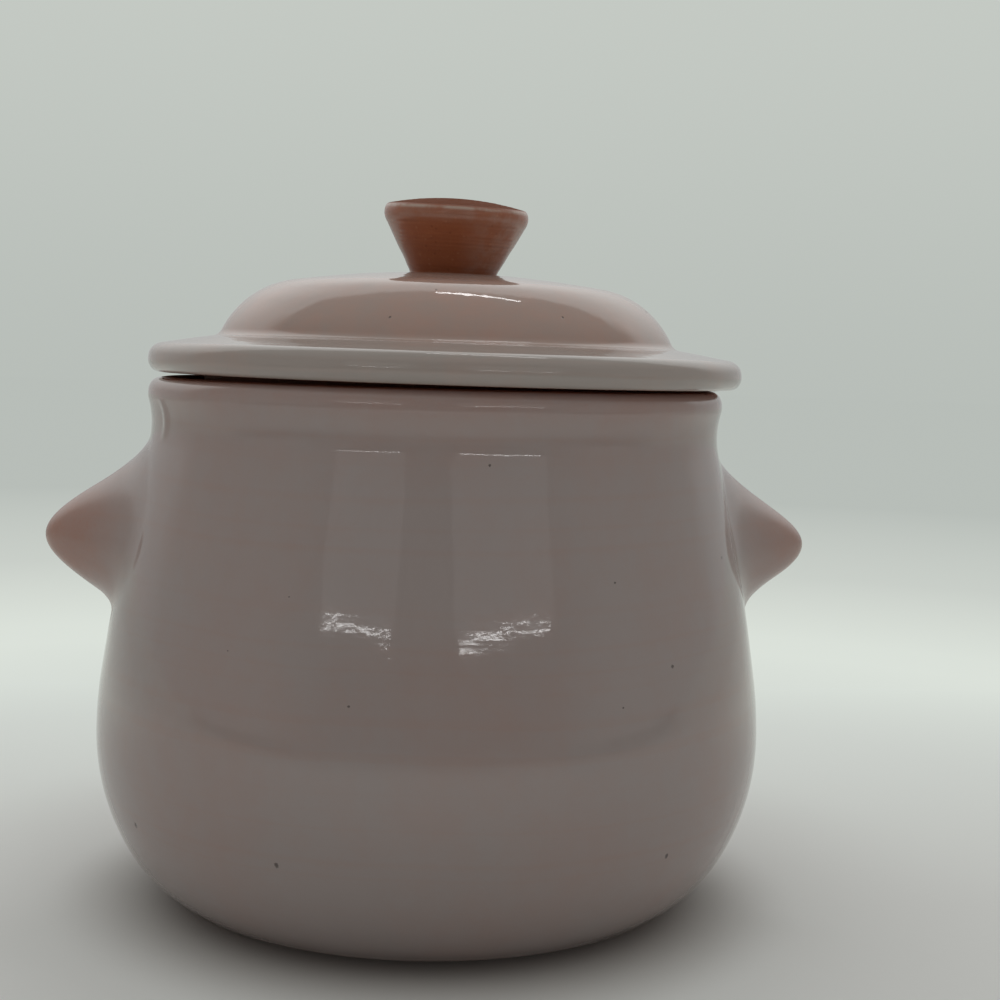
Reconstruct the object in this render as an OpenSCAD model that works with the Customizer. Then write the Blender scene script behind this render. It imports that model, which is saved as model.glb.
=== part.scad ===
// Clay dutch oven: a round thrown pot with two cone lugs and a lift-off lid with a bare clay knob.
// Millimetres. The origin is under the middle of the foot, +X runs through the lugs and +Z is up.

/* [Pot] */

// widest radius of the bare pot
belly_radius = 81.6; // [79:0.1:84]
// height of the widest ring
belly_height = 42; // [38:0.5:46]
// curve between the flat foot and the lower wall
foot_round = 30; // [26:0.5:33]
// curve of the wall below the belly
lower_round = 54; // [50:0.5:60]
// curve of the wall just above the belly
upper_round = 100; // [80:1:140]
// long curve of the wall up to the neck
wall_round = 620; // [500:10:800]
// least lean of the wall where the long curve starts, degrees
wall_lean = 8.5; // [7.5:0.1:9.5]
// hollow curve of the neck under the rim
neck_round = 22; // [18:0.5:28]
// outer radius of the rim
rim_radius = 70.1; // [69:0.1:71.2]
// height of the rim
rim_height = 128; // [125:0.5:132]
// round of the rim
rim_round = 4; // [3.5:0.1:4.4]
// thickness of the pot wall and its floor
pot_wall = 6.5; // [5.5:0.1:7.5]

/* [Lugs] */

// how far a lug's tip stands out past the belly
lug_reach = 12.7; // [9:0.1:16]
// height of the lugs' middle
lug_height = 89.6; // [86:0.2:92]
// round of a lug's tip
lug_tip = 8.4; // [7:0.1:10]
// half of a lug's cone angle, degrees
lug_angle = 34.5; // [31:0.5:37]
// hollow curve where a lug meets the wall
lug_flare = 10; // [6:0.5:12]
// how deep the flare's root lies inside the neck's radius
lug_sink = 2; // [1.5:0.1:3]

/* [Lid] */

// radius of the bare flange
flange_radius = 72.4; // [71:0.1:75]
// thickness of the flange at its edge
flange_thickness = 6.6; // [5.6:0.1:7.6]
// slope of the flange's top, degrees
flange_slope = 9; // [6:0.5:11]
// radius of the dome's side
dome_radius = 56.9; // [55:0.1:58.5]
// height of the dome above the lid's seat
dome_rise = 25.4; // [24:0.1:28]
// curve of the dome's shoulder
dome_shoulder = 21.4; // [19.5:0.1:23]
// curve of the dome's crown
dome_crown = 245; // [200:5:400]
// hollow curve where the dome meets the flange
dome_fillet = 3.5; // [2.5:0.5:6]
// radius of the flat on the dome that the knob stands on
knob_seat = 13; // [12.5:0.1:16]
// thickness of the dome
lid_wall = 5.5; // [4.5:0.1:6.5]
// depth of the ring under the lid that drops into the mouth
collar_depth = 8; // [6:0.5:9]
// thickness of that ring
collar_thickness = 5.5; // [4:0.1:6.5]
// chamfer on the foot of that ring
collar_chamfer = 1.2; // [0.6:0.1:1.8]

/* [Knob] */

// radius of the knob where it leaves the dome
knob_base = 10.1; // [8.5:0.1:11.5]
// height of the knob above the dome
knob_height = 19.3; // [17:0.1:23]
// lean of the knob's side, degrees
knob_lean = 25; // [22:0.5:28]
// widest radius of the knob
knob_radius = 17.8; // [16.5:0.1:19.5]
// round of the knob's edge
knob_edge = 4; // [3.4:0.1:4.6]
// drop of the edge's middle below the knob's top
knob_drop = 4.1; // [3.6:0.1:4.8]
// curve of the knob's top
knob_crown = 80; // [55:1:140]
// how far the hand-set knob sits from the lid's middle
knob_offset = 0.8; // [0:0.1:2]

/* [Glaze and fits] */

// thickness of the glaze outside
outer_coat = 0.6; // [0.4:0.05:0.9]
// thickness of the glaze inside
inner_coat = 0.5; // [0.4:0.05:0.8]
// how far up the foot's curve the outer glaze starts, degrees
foot_bare = 26; // [18:1:36]
// how far up the rim's curve the outer glaze ends, degrees
rim_cover = 35; // [20:1:50]
// how far the lid's glaze wraps under its edge, degrees
edge_wrap = 40; // [20:1:55]
// bare height at the bottom of the lid's hollow
hollow_bare = 1.2; // [0.8:0.1:2]
// bare height under the straight part of the mouth
mouth_bare = 2; // [1:0.5:4]
// gap between the rim and the lid's seat
seat_gap = 0.3; // [0.2:0.05:0.6]
// room around the lid's ring when it is in the middle of the mouth
lid_play = 2.7; // [1.5:0.1:3.5]
// gap left on the side the lid has slid to
rest_gap = 0.5; // [0.3:0.05:1]
// lean of the lid as it lies on the uneven rim, down to that side, degrees
lid_tilt = 0.35; // [0:0.05:0.6]

/* [Hidden] */

clay = "#a5654b";
bare_clay = "#b06848";
glaze = "#c9b8b4";

// points along an arc, and the same list without its first point or turned round
function arc(x, z, r, from, to, steps) = [
    for (i = [0 : steps])
        let (a = from + (to - from) * i / steps)
            [x + r * cos(a), z + r * sin(a)]
];
function tail(list) = [for (i = [1 : len(list) - 1]) list[i]];
function turned(list) = [for (i = [len(list) - 1 : -1 : 0]) list[i]];

// pot arcs: their middles, each one touching the next
low_x = belly_radius - lower_round;
foot_x = low_x + sqrt(pow(lower_round - foot_round, 2) - pow(belly_height - foot_round, 2));
up_x = belly_radius - upper_round;
bead_x = rim_radius - rim_round;
bead_z = rim_height - rim_round;

// lean of the wall: more than the least one where the long curve would hide half of the rim's round
lean_near = wall_round - upper_round;
lean_far = wall_round - rim_round / 2;
lean_span = sqrt(pow(bead_x - up_x, 2) + pow(bead_z - belly_height, 2));
lean_cos = (pow(lean_near, 2) + pow(lean_span, 2) - pow(lean_far, 2)) / (2 * lean_near * lean_span);
rim_lean = atan2(bead_z - belly_height, bead_x - up_x) + acos(lean_cos) - 180;
lean = max(wall_lean, rim_lean);
wall_x = up_x - lean_near * cos(lean);
wall_z = belly_height - lean_near * sin(lean);

// neck arc: it touches the wall arc and the rim arc
neck_span = sqrt(pow(bead_x - wall_x, 2) + pow(bead_z - wall_z, 2));
neck_far = wall_round + neck_round;
neck_near = neck_round + rim_round;
neck_along = (neck_far * neck_far - neck_near * neck_near + neck_span * neck_span) / (2 * neck_span);
neck_side = sqrt(neck_far * neck_far - neck_along * neck_along);
span_x = (bead_x - wall_x) / neck_span;
span_z = (bead_z - wall_z) / neck_span;
neck_x = wall_x + neck_along * span_x + neck_side * span_z;
neck_z = wall_z + neck_along * span_z - neck_side * span_x;
neck_radius = neck_x - neck_round;

// the mouth lies inside the rim's round and leaves a whole wall at the neck
mouth_radius = min(rim_radius - 2 * rim_round, neck_radius - pot_wall);

// angles where one pot arc hands over to the next
foot_end = atan2(foot_round - belly_height, foot_x - low_x);
wall_end = atan2(neck_z - wall_z, neck_x - wall_x);
neck_end = atan2(bead_z - neck_z, bead_x - neck_x);

// the pot's wall from the foot's curve to the end of the long curve, moved out by t
function pot_wall_side(t, start, end) = concat(
    arc(foot_x, foot_round, foot_round + t, start, foot_end, 8),
    tail(arc(low_x, belly_height, lower_round + t, foot_end, 0, 8)),
    tail(arc(up_x, belly_height, upper_round + t, 0, lean, 3)),
    tail(arc(wall_x, wall_z, wall_round + t, lean, end, 3))
);

// the pot's outside from the foot's curve round the rim, moved out by t
function pot_side(t, start, end) = concat(
    pot_wall_side(t, start, wall_end),
    tail(arc(neck_x, neck_z, neck_round - t, 180 + wall_end, neck_end, 5)),
    tail(arc(bead_x, bead_z, rim_round + t, neck_end - 180, end, 8))
);

// angle on the inner wall where the straight mouth starts, and where the inner glaze stops
mouth_angle = acos((mouth_radius - wall_x) / (wall_round - pot_wall));
mouth_low = wall_z + (wall_round - pot_wall) * sin(mouth_angle);
glaze_angle = asin((mouth_low - mouth_bare - wall_z) / (wall_round - pot_wall));
mouth_edge = [mouth_radius, mouth_low];

// lug arcs, measured out from the pot's axis
tip_y = belly_radius + lug_reach - lug_tip;
flare_y = neck_radius - lug_sink + lug_flare;
flare_x = (lug_tip + lug_flare - (flare_y - tip_y) * sin(lug_angle)) / cos(lug_angle);
flare_start = 258;
lug_low = neck_radius - pot_wall;

// lid levels and arcs
lid_shift = lid_play - rest_gap;
seat_z = rim_height + seat_gap + (bead_x - lid_shift) * sin(lid_tilt);
edge_round = flange_thickness / 2;
edge_x = flange_radius - edge_round;
edge_z = seat_z + edge_round;
shoulder_x = dome_radius - dome_shoulder;
shoulder_lean = asin(shoulder_x / (dome_crown - dome_shoulder));
seat_drop = dome_crown * (1 - cos(asin(knob_seat / dome_crown)));
crown_z = seat_z + dome_rise - dome_crown + seat_drop;
shoulder_z = crown_z + (dome_crown - dome_shoulder) * cos(shoulder_lean);
collar_radius = mouth_radius - lid_play;
collar_inside = collar_radius - collar_thickness;
collar_low = seat_z - collar_depth;

// the dome's inside: the angle its shoulder starts at for a level, and its straight foot down to it
function hollow_start(level) = asin(max(0, (level - shoulder_z) / (dome_shoulder - lid_wall)));
function hollow_foot(t, level) = level < shoulder_z ? [[dome_radius + t, level]] : [];

// the lid's dome from an angle on the shoulder to the axis, moved out by t
function dome_side(t, start) =
    let (crown = arc(0, crown_z, dome_crown + t, 90 - shoulder_lean,
                     acos(knob_seat / (dome_crown + t)), 5))
        concat(
            arc(shoulder_x, shoulder_z, dome_shoulder + t, start, 90 - shoulder_lean, 9),
            tail(crown),
            [[0, crown[5][1]]]
        );

// fillet between the flange's sloping top and the shoulder
fillet_reach = (edge_x - shoulder_x) * sin(flange_slope) + (edge_z - shoulder_z) * cos(flange_slope)
    + edge_round + dome_fillet;
fillet_angle = asin(fillet_reach / (dome_shoulder + dome_fillet)) - flange_slope;
fillet_x = shoulder_x + (dome_shoulder + dome_fillet) * cos(fillet_angle);
fillet_z = shoulder_z + (dome_shoulder + dome_fillet) * sin(fillet_angle);

// the lid's top from an angle on its edge to the axis, moved out by t
function lid_top(t, start) = concat(
    arc(edge_x, edge_z, edge_round + t, start, 90 - flange_slope, 9),
    arc(fillet_x, fillet_z, dome_fillet - t, 270 - flange_slope, 180 + fillet_angle, 5),
    tail(dome_side(t, fillet_angle))
);

// knob levels
dome_top = seat_z + dome_rise;
knob_top = dome_top + knob_height;
knob_edge_x = knob_radius - knob_edge;
knob_edge_z = knob_top - knob_drop;

// puts the lid's pieces where the lid lies on the rim
module on_rim() {
    translate([lid_shift, 0, seat_z])
        rotate([0, lid_tilt, 0])
            translate([0, 0, -seat_z])
                children();
}

// the pot's bare outside as one filled solid, for fits against it
module pot_solid() {
    rotate_extrude()
        polygon(concat([[0, 0]], pot_side(0, -90, 90), [[0, rim_height]]));
}

// a whole lug pointing to side +1 or -1, moved out by t, whose flare runs out below the neck
module lug_solid(side, t) {
    flare = arc(flare_x, flare_y, lug_flare - t, flare_start, 180 + lug_angle, 4);
    intersection() {
        translate([0, 0, lug_height])
            rotate([0, side * 90, 0])
                rotate_extrude()
                    polygon(concat(
                        [[0, lug_low], [flare[0][0], lug_low]],
                        flare,
                        arc(0, tip_y, lug_tip + t, lug_angle, 90, 6)
                    ));
        translate([0, 0, neck_z - rim_height])
            cylinder(r = 2 * belly_radius, h = rim_height);
    }
}

module knob_solid() {
    translate([knob_offset, 0, 0])
        rotate_extrude()
            intersection() {
                translate([0, knob_top - knob_crown]) circle(r = knob_crown);
                union() {
                    polygon([
                        [0, dome_top], [knob_base, dome_top],
                        [knob_base + (knob_edge_z - dome_top) * tan(knob_lean), knob_edge_z],
                        [0, knob_edge_z]
                    ]);
                    translate([0, knob_edge_z - knob_edge / 2]) square([knob_edge_x, 2 * knob_edge]);
                    translate([knob_edge_x, knob_edge_z]) circle(r = knob_edge);
                }
            }
}

module pot_body() {
    color(clay)
        rotate_extrude()
            polygon(concat(
                [[0, 0]],
                pot_side(0, -90, 90),
                tail(arc(bead_x, bead_z, rim_round, 90, 180, 4)),
                [mouth_edge],
                turned(pot_wall_side(-pot_wall, -90, glaze_angle)),
                [[0, pot_wall]]
            ));
}

module left_lug() {
    color(clay)
        difference() {
            lug_solid(-1, 0);
            pot_solid();
        }
}

module right_lug() {
    color(clay)
        difference() {
            lug_solid(1, 0);
            pot_solid();
        }
}

module pot_outer_glaze() {
    start = foot_bare - 90;
    deep = -pot_wall / 2;
    under = arc(foot_x, foot_round, foot_round + deep, start, start + 1, 1)[0];
    color(glaze)
        difference() {
            union() {
                rotate_extrude()
                    polygon(concat(
                        [[0, under[1]], under],
                        pot_side(outer_coat, start, rim_cover),
                        [[bead_x, bead_z], [0, belly_height]]
                    ));
                lug_solid(-1, outer_coat);
                lug_solid(1, outer_coat);
            }
            pot_solid();
            lug_solid(-1, 0);
            lug_solid(1, 0);
        }
}

module pot_inner_glaze() {
    color(glaze)
        rotate_extrude()
            polygon(concat(
                [[0, pot_wall]],
                pot_wall_side(-pot_wall, -90, glaze_angle),
                turned(pot_wall_side(-pot_wall - inner_coat, -90, glaze_angle)),
                [[0, pot_wall + inner_coat]]
            ));
}

module lid_body() {
    color(clay)
        on_rim()
            rotate_extrude()
                polygon(concat(
                    lid_top(0, -90),
                    turned(dome_side(-lid_wall, hollow_start(seat_z))),
                    hollow_foot(-lid_wall, seat_z),
                    [
                        [collar_inside, seat_z],
                        [collar_inside, collar_low + collar_chamfer],
                        [collar_inside + collar_chamfer, collar_low],
                        [collar_radius - collar_chamfer, collar_low],
                        [collar_radius, collar_low + collar_chamfer],
                        [collar_radius, seat_z]
                    ]
                ));
}

module lid_knob() {
    color(bare_clay) on_rim() knob_solid();
}

module lid_top_glaze() {
    color(glaze)
        on_rim()
            difference() {
                rotate_extrude()
                    polygon(concat(lid_top(outer_coat, -edge_wrap), turned(lid_top(0, -edge_wrap))));
                knob_solid();
            }
}

module lid_inner_glaze() {
    low = seat_z + hollow_bare;
    color(glaze)
        on_rim()
            rotate_extrude()
                polygon(concat(
                    hollow_foot(-lid_wall, low),
                    dome_side(-lid_wall, hollow_start(low)),
                    turned(dome_side(-lid_wall - inner_coat, hollow_start(low))),
                    hollow_foot(-lid_wall - inner_coat, low)
                ));
}

pot_body();
left_lug();
right_lug();
pot_outer_glaze();
pot_inner_glaze();
lid_body();
lid_knob();
lid_top_glaze();
lid_inner_glaze();
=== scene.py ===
"""Clay dutch oven: glaze, bare clay, camera and light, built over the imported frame."""

import logging
import math
from dataclasses import dataclass, field
from enum import Enum
from functools import cached_property, reduce
from typing import Any

import bpy
import numpy as np
from mathutils import Matrix, Vector


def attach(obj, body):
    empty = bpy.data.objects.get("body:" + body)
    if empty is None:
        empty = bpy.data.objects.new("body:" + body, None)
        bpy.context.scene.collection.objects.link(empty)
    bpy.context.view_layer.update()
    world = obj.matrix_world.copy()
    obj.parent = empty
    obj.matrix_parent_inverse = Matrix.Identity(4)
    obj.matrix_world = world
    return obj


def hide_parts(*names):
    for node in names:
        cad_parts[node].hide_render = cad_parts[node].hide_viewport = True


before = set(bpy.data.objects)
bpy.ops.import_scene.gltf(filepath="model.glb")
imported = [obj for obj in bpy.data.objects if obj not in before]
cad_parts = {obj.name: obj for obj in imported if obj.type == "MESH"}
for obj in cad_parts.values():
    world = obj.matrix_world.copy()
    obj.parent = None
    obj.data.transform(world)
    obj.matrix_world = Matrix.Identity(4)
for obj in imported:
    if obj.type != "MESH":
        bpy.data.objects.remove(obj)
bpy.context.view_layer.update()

MM = 0.001
FULL_TURN = 2.0 * math.pi
OUT = np.array([[1.0, 0.0]])
UP = np.array([[0.0, 1.0]])
LOG = logging.getLogger("dutch_oven")

Colour = tuple[float, float, float]
Place = tuple[float, float, float]
Point = tuple[float, float] | np.ndarray
Socket = bpy.types.NodeSocket


class Body(Enum):
    """The two loose pieces of pottery that move on their own."""

    POT = "pot"
    LID = "lid"


class Slot(Enum):
    """The record's material slots."""

    CLAY = "clay"
    KNOB = "knob_clay"
    OUTER = "outer_glaze"
    INNER = "inner_glaze"


class Bend(Enum):
    """Which side of an arc the clay's outside lies on."""

    ROUND = 1.0
    HOLLOW = -1.0


# Outlines

@dataclass(frozen=True)
class Fade:
    """A smooth step from 0 at one value to 1 at another."""

    low: float
    high: float

    def up(self, value: np.ndarray) -> np.ndarray:
        """The step itself."""
        share = np.clip((value - self.low) / (self.high - self.low), 0.0, 1.0)
        return share * share * (3.0 - 2.0 * share)

    def down(self, value: np.ndarray) -> np.ndarray:
        """The step turned round, from 1 to 0."""
        return 1.0 - self.up(value)


@dataclass(frozen=True)
class Arc:
    """One arc of a turned outline, in millimetres and degrees."""

    x: float
    z: float
    radius: float
    start: float
    end: float
    step: float = 1.0
    bend: Bend = Bend.ROUND

    def sampled(self) -> tuple[np.ndarray, np.ndarray]:
        """Points along the arc.

        Returns:
            The points and the outward normals, each of shape (n, 2).
        """
        span = abs(math.radians(self.end - self.start)) * self.radius
        count = max(3, math.ceil(span / self.step) + 1)
        angle = np.radians(np.linspace(self.start, self.end, count))
        normal = np.stack([np.cos(angle), np.sin(angle)], axis=1)
        return np.array([self.x, self.z]) + self.radius * normal, normal * self.bend.value


@dataclass
class Outline:
    """A turned outline as points with outward normals."""

    points: np.ndarray
    normals: np.ndarray

    @staticmethod
    def of(arcs: list[Arc]) -> "Outline":
        """Joins arcs that touch one another.

        Args:
            arcs: the arcs in order along the outline.

        Returns:
            The joined outline, with the shared end points once.
        """
        runs = [arc.sampled() for arc in arcs]
        points = [runs[0][0]] + [p[1:] for p, _ in runs[1:]]
        normals = [runs[0][1]] + [n[1:] for _, n in runs[1:]]
        return Outline(np.concatenate(points), np.concatenate(normals))

    def moved(self, by: float | np.ndarray) -> np.ndarray:
        """The points moved out along their normals, by one distance or by one for each."""
        return self.points + self.normals * np.reshape(by, (-1, 1))

    def side_at(self, height: float) -> int:
        """Index of the point nearest to a height, where the outline faces straight out."""
        faces_out = self.normals[:, 0] > 0.8
        return int(np.argmin(np.where(faces_out, np.abs(self.points[:, 1] - height), np.inf)))

    @cached_property
    def length(self) -> np.ndarray:
        """Distance of each point from the first one, along the outline."""
        return run_length(self.points)


def run_length(points: np.ndarray) -> np.ndarray:
    """Distance of each point of a list from the first one, along the list."""
    steps = np.linalg.norm(np.diff(points, axis=0), axis=1)
    return np.concatenate([[0.0], np.cumsum(steps)])


def level_run(start: float, end: float, height: float, count: int) -> np.ndarray:
    """Points along a level stretch of an outline, from one radius to another."""
    return np.stack([np.linspace(start, end, count), np.full(count, height)], axis=1)


def evened(points: np.ndarray, step: float) -> np.ndarray:
    """A list of points laid out again with an even step.

    Args:
        points: the points, of shape (n, 2).
        step: the new distance between them.

    Returns:
        The new points.
    """
    length = run_length(points)
    count = max(2, int(round(length[-1] / step)) + 1)
    at = np.linspace(0.0, length[-1], count)
    return np.stack([np.interp(at, length, points[:, i]) for i in (0, 1)], axis=1)


def softened(points: np.ndarray, reach: float, step: float) -> np.ndarray:
    """An evenly stepped outline with its corners rubbed round.

    Args:
        points: the points, with an even step between them.
        reach: how far along the outline the rubbing reaches.
        step: the distance between the points.

    Returns:
        The softened points, with both ends kept.
    """
    half = int(4 * reach / step)
    weight = np.exp(-0.5 * (np.arange(-half, half + 1) * step / reach) ** 2)
    weight /= weight.sum()
    before = 2 * points[0] - points[half:0:-1]
    after = 2 * points[-1] - points[-2:-half - 2:-1]
    padded = np.concatenate([before, points, after])
    soft = np.stack([np.convolve(padded[:, i], weight, mode="valid") for i in (0, 1)], axis=1)
    soft[0], soft[-1] = points[0], points[-1]
    return soft


def swell(value: np.ndarray, middle: float, width: float) -> np.ndarray:
    """A smooth hump of height 1 around a middle value."""
    return np.exp(-(((value - middle) / width) ** 2))


def rounded_max(a: np.ndarray, b: np.ndarray, blend: np.ndarray) -> np.ndarray:
    """The larger of two heights, with a soft hollow where they cross."""
    share = np.clip(0.5 + 0.5 * (a - b) / blend, 0.0, 1.0)
    return b + (a - b) * share + blend * share * (1.0 - share)


def direction(tail: Point, tip: Point) -> float:
    """Direction from one point of an outline's plane to another, in degrees."""
    return math.degrees(math.atan2(tip[1] - tail[1], tip[0] - tail[0]))


@dataclass(frozen=True)
class Hand:
    """The slow unevenness that a potter's hands leave, as a few waves of fixed phase."""

    seed: int
    height: float
    pitch: float
    count: int = 6

    @cached_property
    def waves(self) -> np.ndarray:
        """Pitch factor, phase, turn count and share of each wave."""
        draw = np.random.default_rng(self.seed)
        return np.stack([
            draw.uniform(0.6, 1.7, self.count), draw.uniform(0.0, FULL_TURN, self.count),
            draw.integers(-1, 2, self.count).astype(float), draw.uniform(0.5, 1.0, self.count),
        ], axis=1)

    def at(self, along: np.ndarray, turn: np.ndarray) -> np.ndarray:
        """Height of the unevenness.

        Args:
            along: distance along the outline or up the wall, in millimetres.
            turn: angle round the axis, in radians.

        Returns:
            The height in millimetres, about zero on average.
        """
        total = np.zeros(np.broadcast(along, turn).shape)
        for factor, phase, turns, share in self.waves:
            total = total + share * np.sin(FULL_TURN * along * factor / self.pitch + phase + turns * turn)
        return self.height * total / math.sqrt(self.count)


@dataclass(frozen=True)
class Lip:
    """A shallow uneven flat on the side of a round edge, which catches the light."""

    lean: float
    depth: float
    quick: float
    slow: float
    phase: float
    width: float = 0.9
    uneven: float = 0.3

    def rise(self, skin: Outline, middle: float, radius: float, turn: np.ndarray) -> np.ndarray:
        """How far the flat moves each point out, which is less than nothing.

        Args:
            skin: outline of the clay under the glaze.
            middle: height of the middle of the round edge.
            radius: radius of the round edge.
            turn: angles round the axis, in radians.

        Returns:
            The rise in millimetres for each angle and point.
        """
        at = skin.side_at(middle + radius * math.sin(math.radians(self.lean)))
        share = 1.0 + self.uneven * np.sin(self.quick * turn) * np.sin(self.slow * turn + self.phase)
        return -self.depth * share * swell(skin.length, skin.length[at], self.width)


# The forms of the pot and its lid, with the same values as the solids

@dataclass(frozen=True)
class PotForm:
    """Sizes of the thrown pot and its coats, in millimetres and degrees."""

    belly_radius: float = 81.6
    belly_height: float = 42.0
    foot_round: float = 30.0
    lower_round: float = 54.0
    upper_round: float = 100.0
    wall_round: float = 620.0
    wall_lean: float = 8.5
    neck_round: float = 22.0
    rim_radius: float = 70.1
    rim_height: float = 128.0
    rim_round: float = 4.0
    wall: float = 6.5
    outer_coat: float = 0.6
    inner_coat: float = 0.5
    foot_bare: float = 26.0
    rim_cover: float = 35.0
    mouth_bare: float = 2.0

    @cached_property
    def low_x(self) -> float:
        """Middle of the curve below the belly."""
        return self.belly_radius - self.lower_round

    @cached_property
    def foot_x(self) -> float:
        """Radius of the flat foot."""
        rise = self.belly_height - self.foot_round
        return self.low_x + math.sqrt((self.lower_round - self.foot_round) ** 2 - rise ** 2)

    @cached_property
    def up_x(self) -> float:
        """Middle of the curve above the belly."""
        return self.belly_radius - self.upper_round

    @cached_property
    def wall_middle(self) -> np.ndarray:
        """Middle of the wall's long curve.

        Returns:
            Its radius and height.
        """
        lean = math.radians(self.wall_lean)
        far = self.wall_round - self.upper_round
        return np.array([self.up_x - far * math.cos(lean), self.belly_height - far * math.sin(lean)])

    @cached_property
    def bead_middle(self) -> np.ndarray:
        """Middle of the rim's round."""
        return np.array([self.rim_radius - self.rim_round, self.rim_height - self.rim_round])

    @cached_property
    def neck_middle(self) -> np.ndarray:
        """Middle of the neck's hollow curve, which touches the wall and the rim.

        Returns:
            Its radius and height.
        """
        span = self.bead_middle - self.wall_middle
        reach = float(np.linalg.norm(span))
        far = self.wall_round + self.neck_round
        near = self.neck_round + self.rim_round
        along = (far * far - near * near + reach * reach) / (2.0 * reach)
        side = math.sqrt(far * far - along * along)
        unit = span / reach
        return self.wall_middle + along * unit + side * np.array([unit[1], -unit[0]])

    @cached_property
    def neck_radius(self) -> float:
        """Radius of the neck at its narrowest."""
        return float(self.neck_middle[0]) - self.neck_round

    @cached_property
    def mouth_radius(self) -> float:
        """Radius of the open mouth."""
        return min(self.rim_radius - 2.0 * self.rim_round, self.neck_radius - self.wall)

    @cached_property
    def foot_end(self) -> float:
        """Angle where the foot's curve hands over to the wall below the belly."""
        return direction((self.low_x, self.belly_height), (self.foot_x, self.foot_round))

    @cached_property
    def wall_end(self) -> float:
        """Angle where the long curve hands over to the neck."""
        return direction(self.wall_middle, self.neck_middle)

    @cached_property
    def neck_end(self) -> float:
        """Angle where the neck hands over to the rim's round."""
        return direction(self.neck_middle, self.bead_middle)

    @cached_property
    def mouth_low(self) -> float:
        """Height where the straight mouth meets the inside of the wall.

        Returns:
            The height above the floor.
        """
        reach = self.wall_round - self.wall
        across = self.mouth_radius - self.wall_middle[0]
        return float(self.wall_middle[1]) + math.sqrt(reach * reach - across * across)

    @cached_property
    def lining_end(self) -> float:
        """Angle on the long curve where the lining stops, below the bare mouth."""
        rise = self.mouth_low - self.mouth_bare - float(self.wall_middle[1])
        return math.degrees(math.asin(rise / (self.wall_round - self.wall)))

    def wall_arcs(self, start: float, end: float, step: float) -> list[Arc]:
        """Arcs of the outside from the foot's curve to the top of the long curve.

        Args:
            start: angle on the foot's curve to start from.
            end: angle on the long curve to stop at.
            step: distance between points.

        Returns:
            The arcs from the foot upwards.
        """
        return [
            Arc(self.foot_x, self.foot_round, self.foot_round, start, self.foot_end, step),
            Arc(self.low_x, self.belly_height, self.lower_round, self.foot_end, 0.0, step),
            Arc(self.up_x, self.belly_height, self.upper_round, 0.0, self.wall_lean, step),
            Arc(*self.wall_middle, self.wall_round, self.wall_lean, end, step),
        ]

    def top_arcs(self, end: float, step: float) -> list[Arc]:
        """Arcs of the neck and the rim.

        Args:
            end: angle on the rim's round to stop at.
            step: distance between points.

        Returns:
            The arcs from the neck upwards, with a closer step on the rim.
        """
        neck_start = 180.0 + self.wall_end
        return [
            Arc(*self.neck_middle, self.neck_round, neck_start, self.neck_end, step, Bend.HOLLOW),
            Arc(*self.bead_middle, self.rim_round, self.neck_end - 180.0, end, step / 4.0),
        ]

    def outside(self, start: float, end: float, step: float) -> Outline:
        """The outside from the foot's curve to an angle on the rim's round."""
        return Outline.of(self.wall_arcs(start, self.wall_end, step) + self.top_arcs(end, step))

    def inside(self, end: float, step: float) -> Outline:
        """The outside's wall, to be moved in by the wall's thickness."""
        return Outline.of(self.wall_arcs(-90.0, end, step))


@dataclass(frozen=True)
class LugForm:
    """Sizes of one cone lug as a hand left it, in millimetres and degrees."""

    node: str
    side: float
    pot: PotForm
    reach: float
    height: float
    tip: float
    angle_top: float
    angle_low: float
    blend_top: float
    blend_low: float
    blend_side: float = 15.5
    thin: float = 0.6
    own_side: float = 20.0
    tip_fade: Fade = Fade(68.0, 95.0)
    root_fade: Fade = Fade(16.0, 30.0)

    def flare(self, upward: np.ndarray) -> np.ndarray:
        """Slope of the flank, as width over length, where upward is 1 on top and -1 below."""
        lowered = 0.5 - 0.5 * upward
        return np.tan(np.radians(self.angle_top + (self.angle_low - self.angle_top) * lowered))

    def out(self, away: np.ndarray, upward: np.ndarray, coat: float) -> np.ndarray:
        """How far out from the pot's axis the lug's surface lies.

        Args:
            away: distance from the lug's own axis, in millimetres.
            upward: 1 straight above the lug's axis, -1 straight below it.
            coat: thickness of the coat over the lug.

        Returns:
            The distance from the pot's axis, in millimetres.
        """
        slope = self.flare(upward)
        blunt = self.tip / slope ** 2
        return self.pot.belly_radius + self.reach + coat + blunt - np.hypot(blunt, away / slope)

    def over(self, grid: np.ndarray, coat: float) -> np.ndarray:
        """Pushes a coat's points out over the lug.

        Args:
            grid: points on the pot's wall, of shape (m, n, 3), in millimetres.
            coat: thickness of the coat over the lug.

        Returns:
            The points with the lug raised on them.
        """
        wall = self.side * grid[..., 0]
        above = grid[..., 2] - self.height
        away = np.hypot(grid[..., 1], above)
        upward = above / np.maximum(away, 1e-6)
        end = np.where(above > 0.0, self.blend_top, self.blend_low)
        blend = self.blend_side + (end - self.blend_side) * upward ** 2
        raised = rounded_max(self.out(away, upward, coat), wall, blend)
        moved = grid.copy()
        moved[..., 0] = self.side * np.where(wall > self.own_side, raised, wall)
        return moved

    def share(self, points: np.ndarray) -> np.ndarray:
        """How far out on the lug each point lies, from 0 on the wall to 1 at the tip."""
        away = np.hypot(points[..., 1], points[..., 2] - self.height)
        return self.tip_fade.up(self.side * points[..., 0]) * self.root_fade.down(away)


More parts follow.
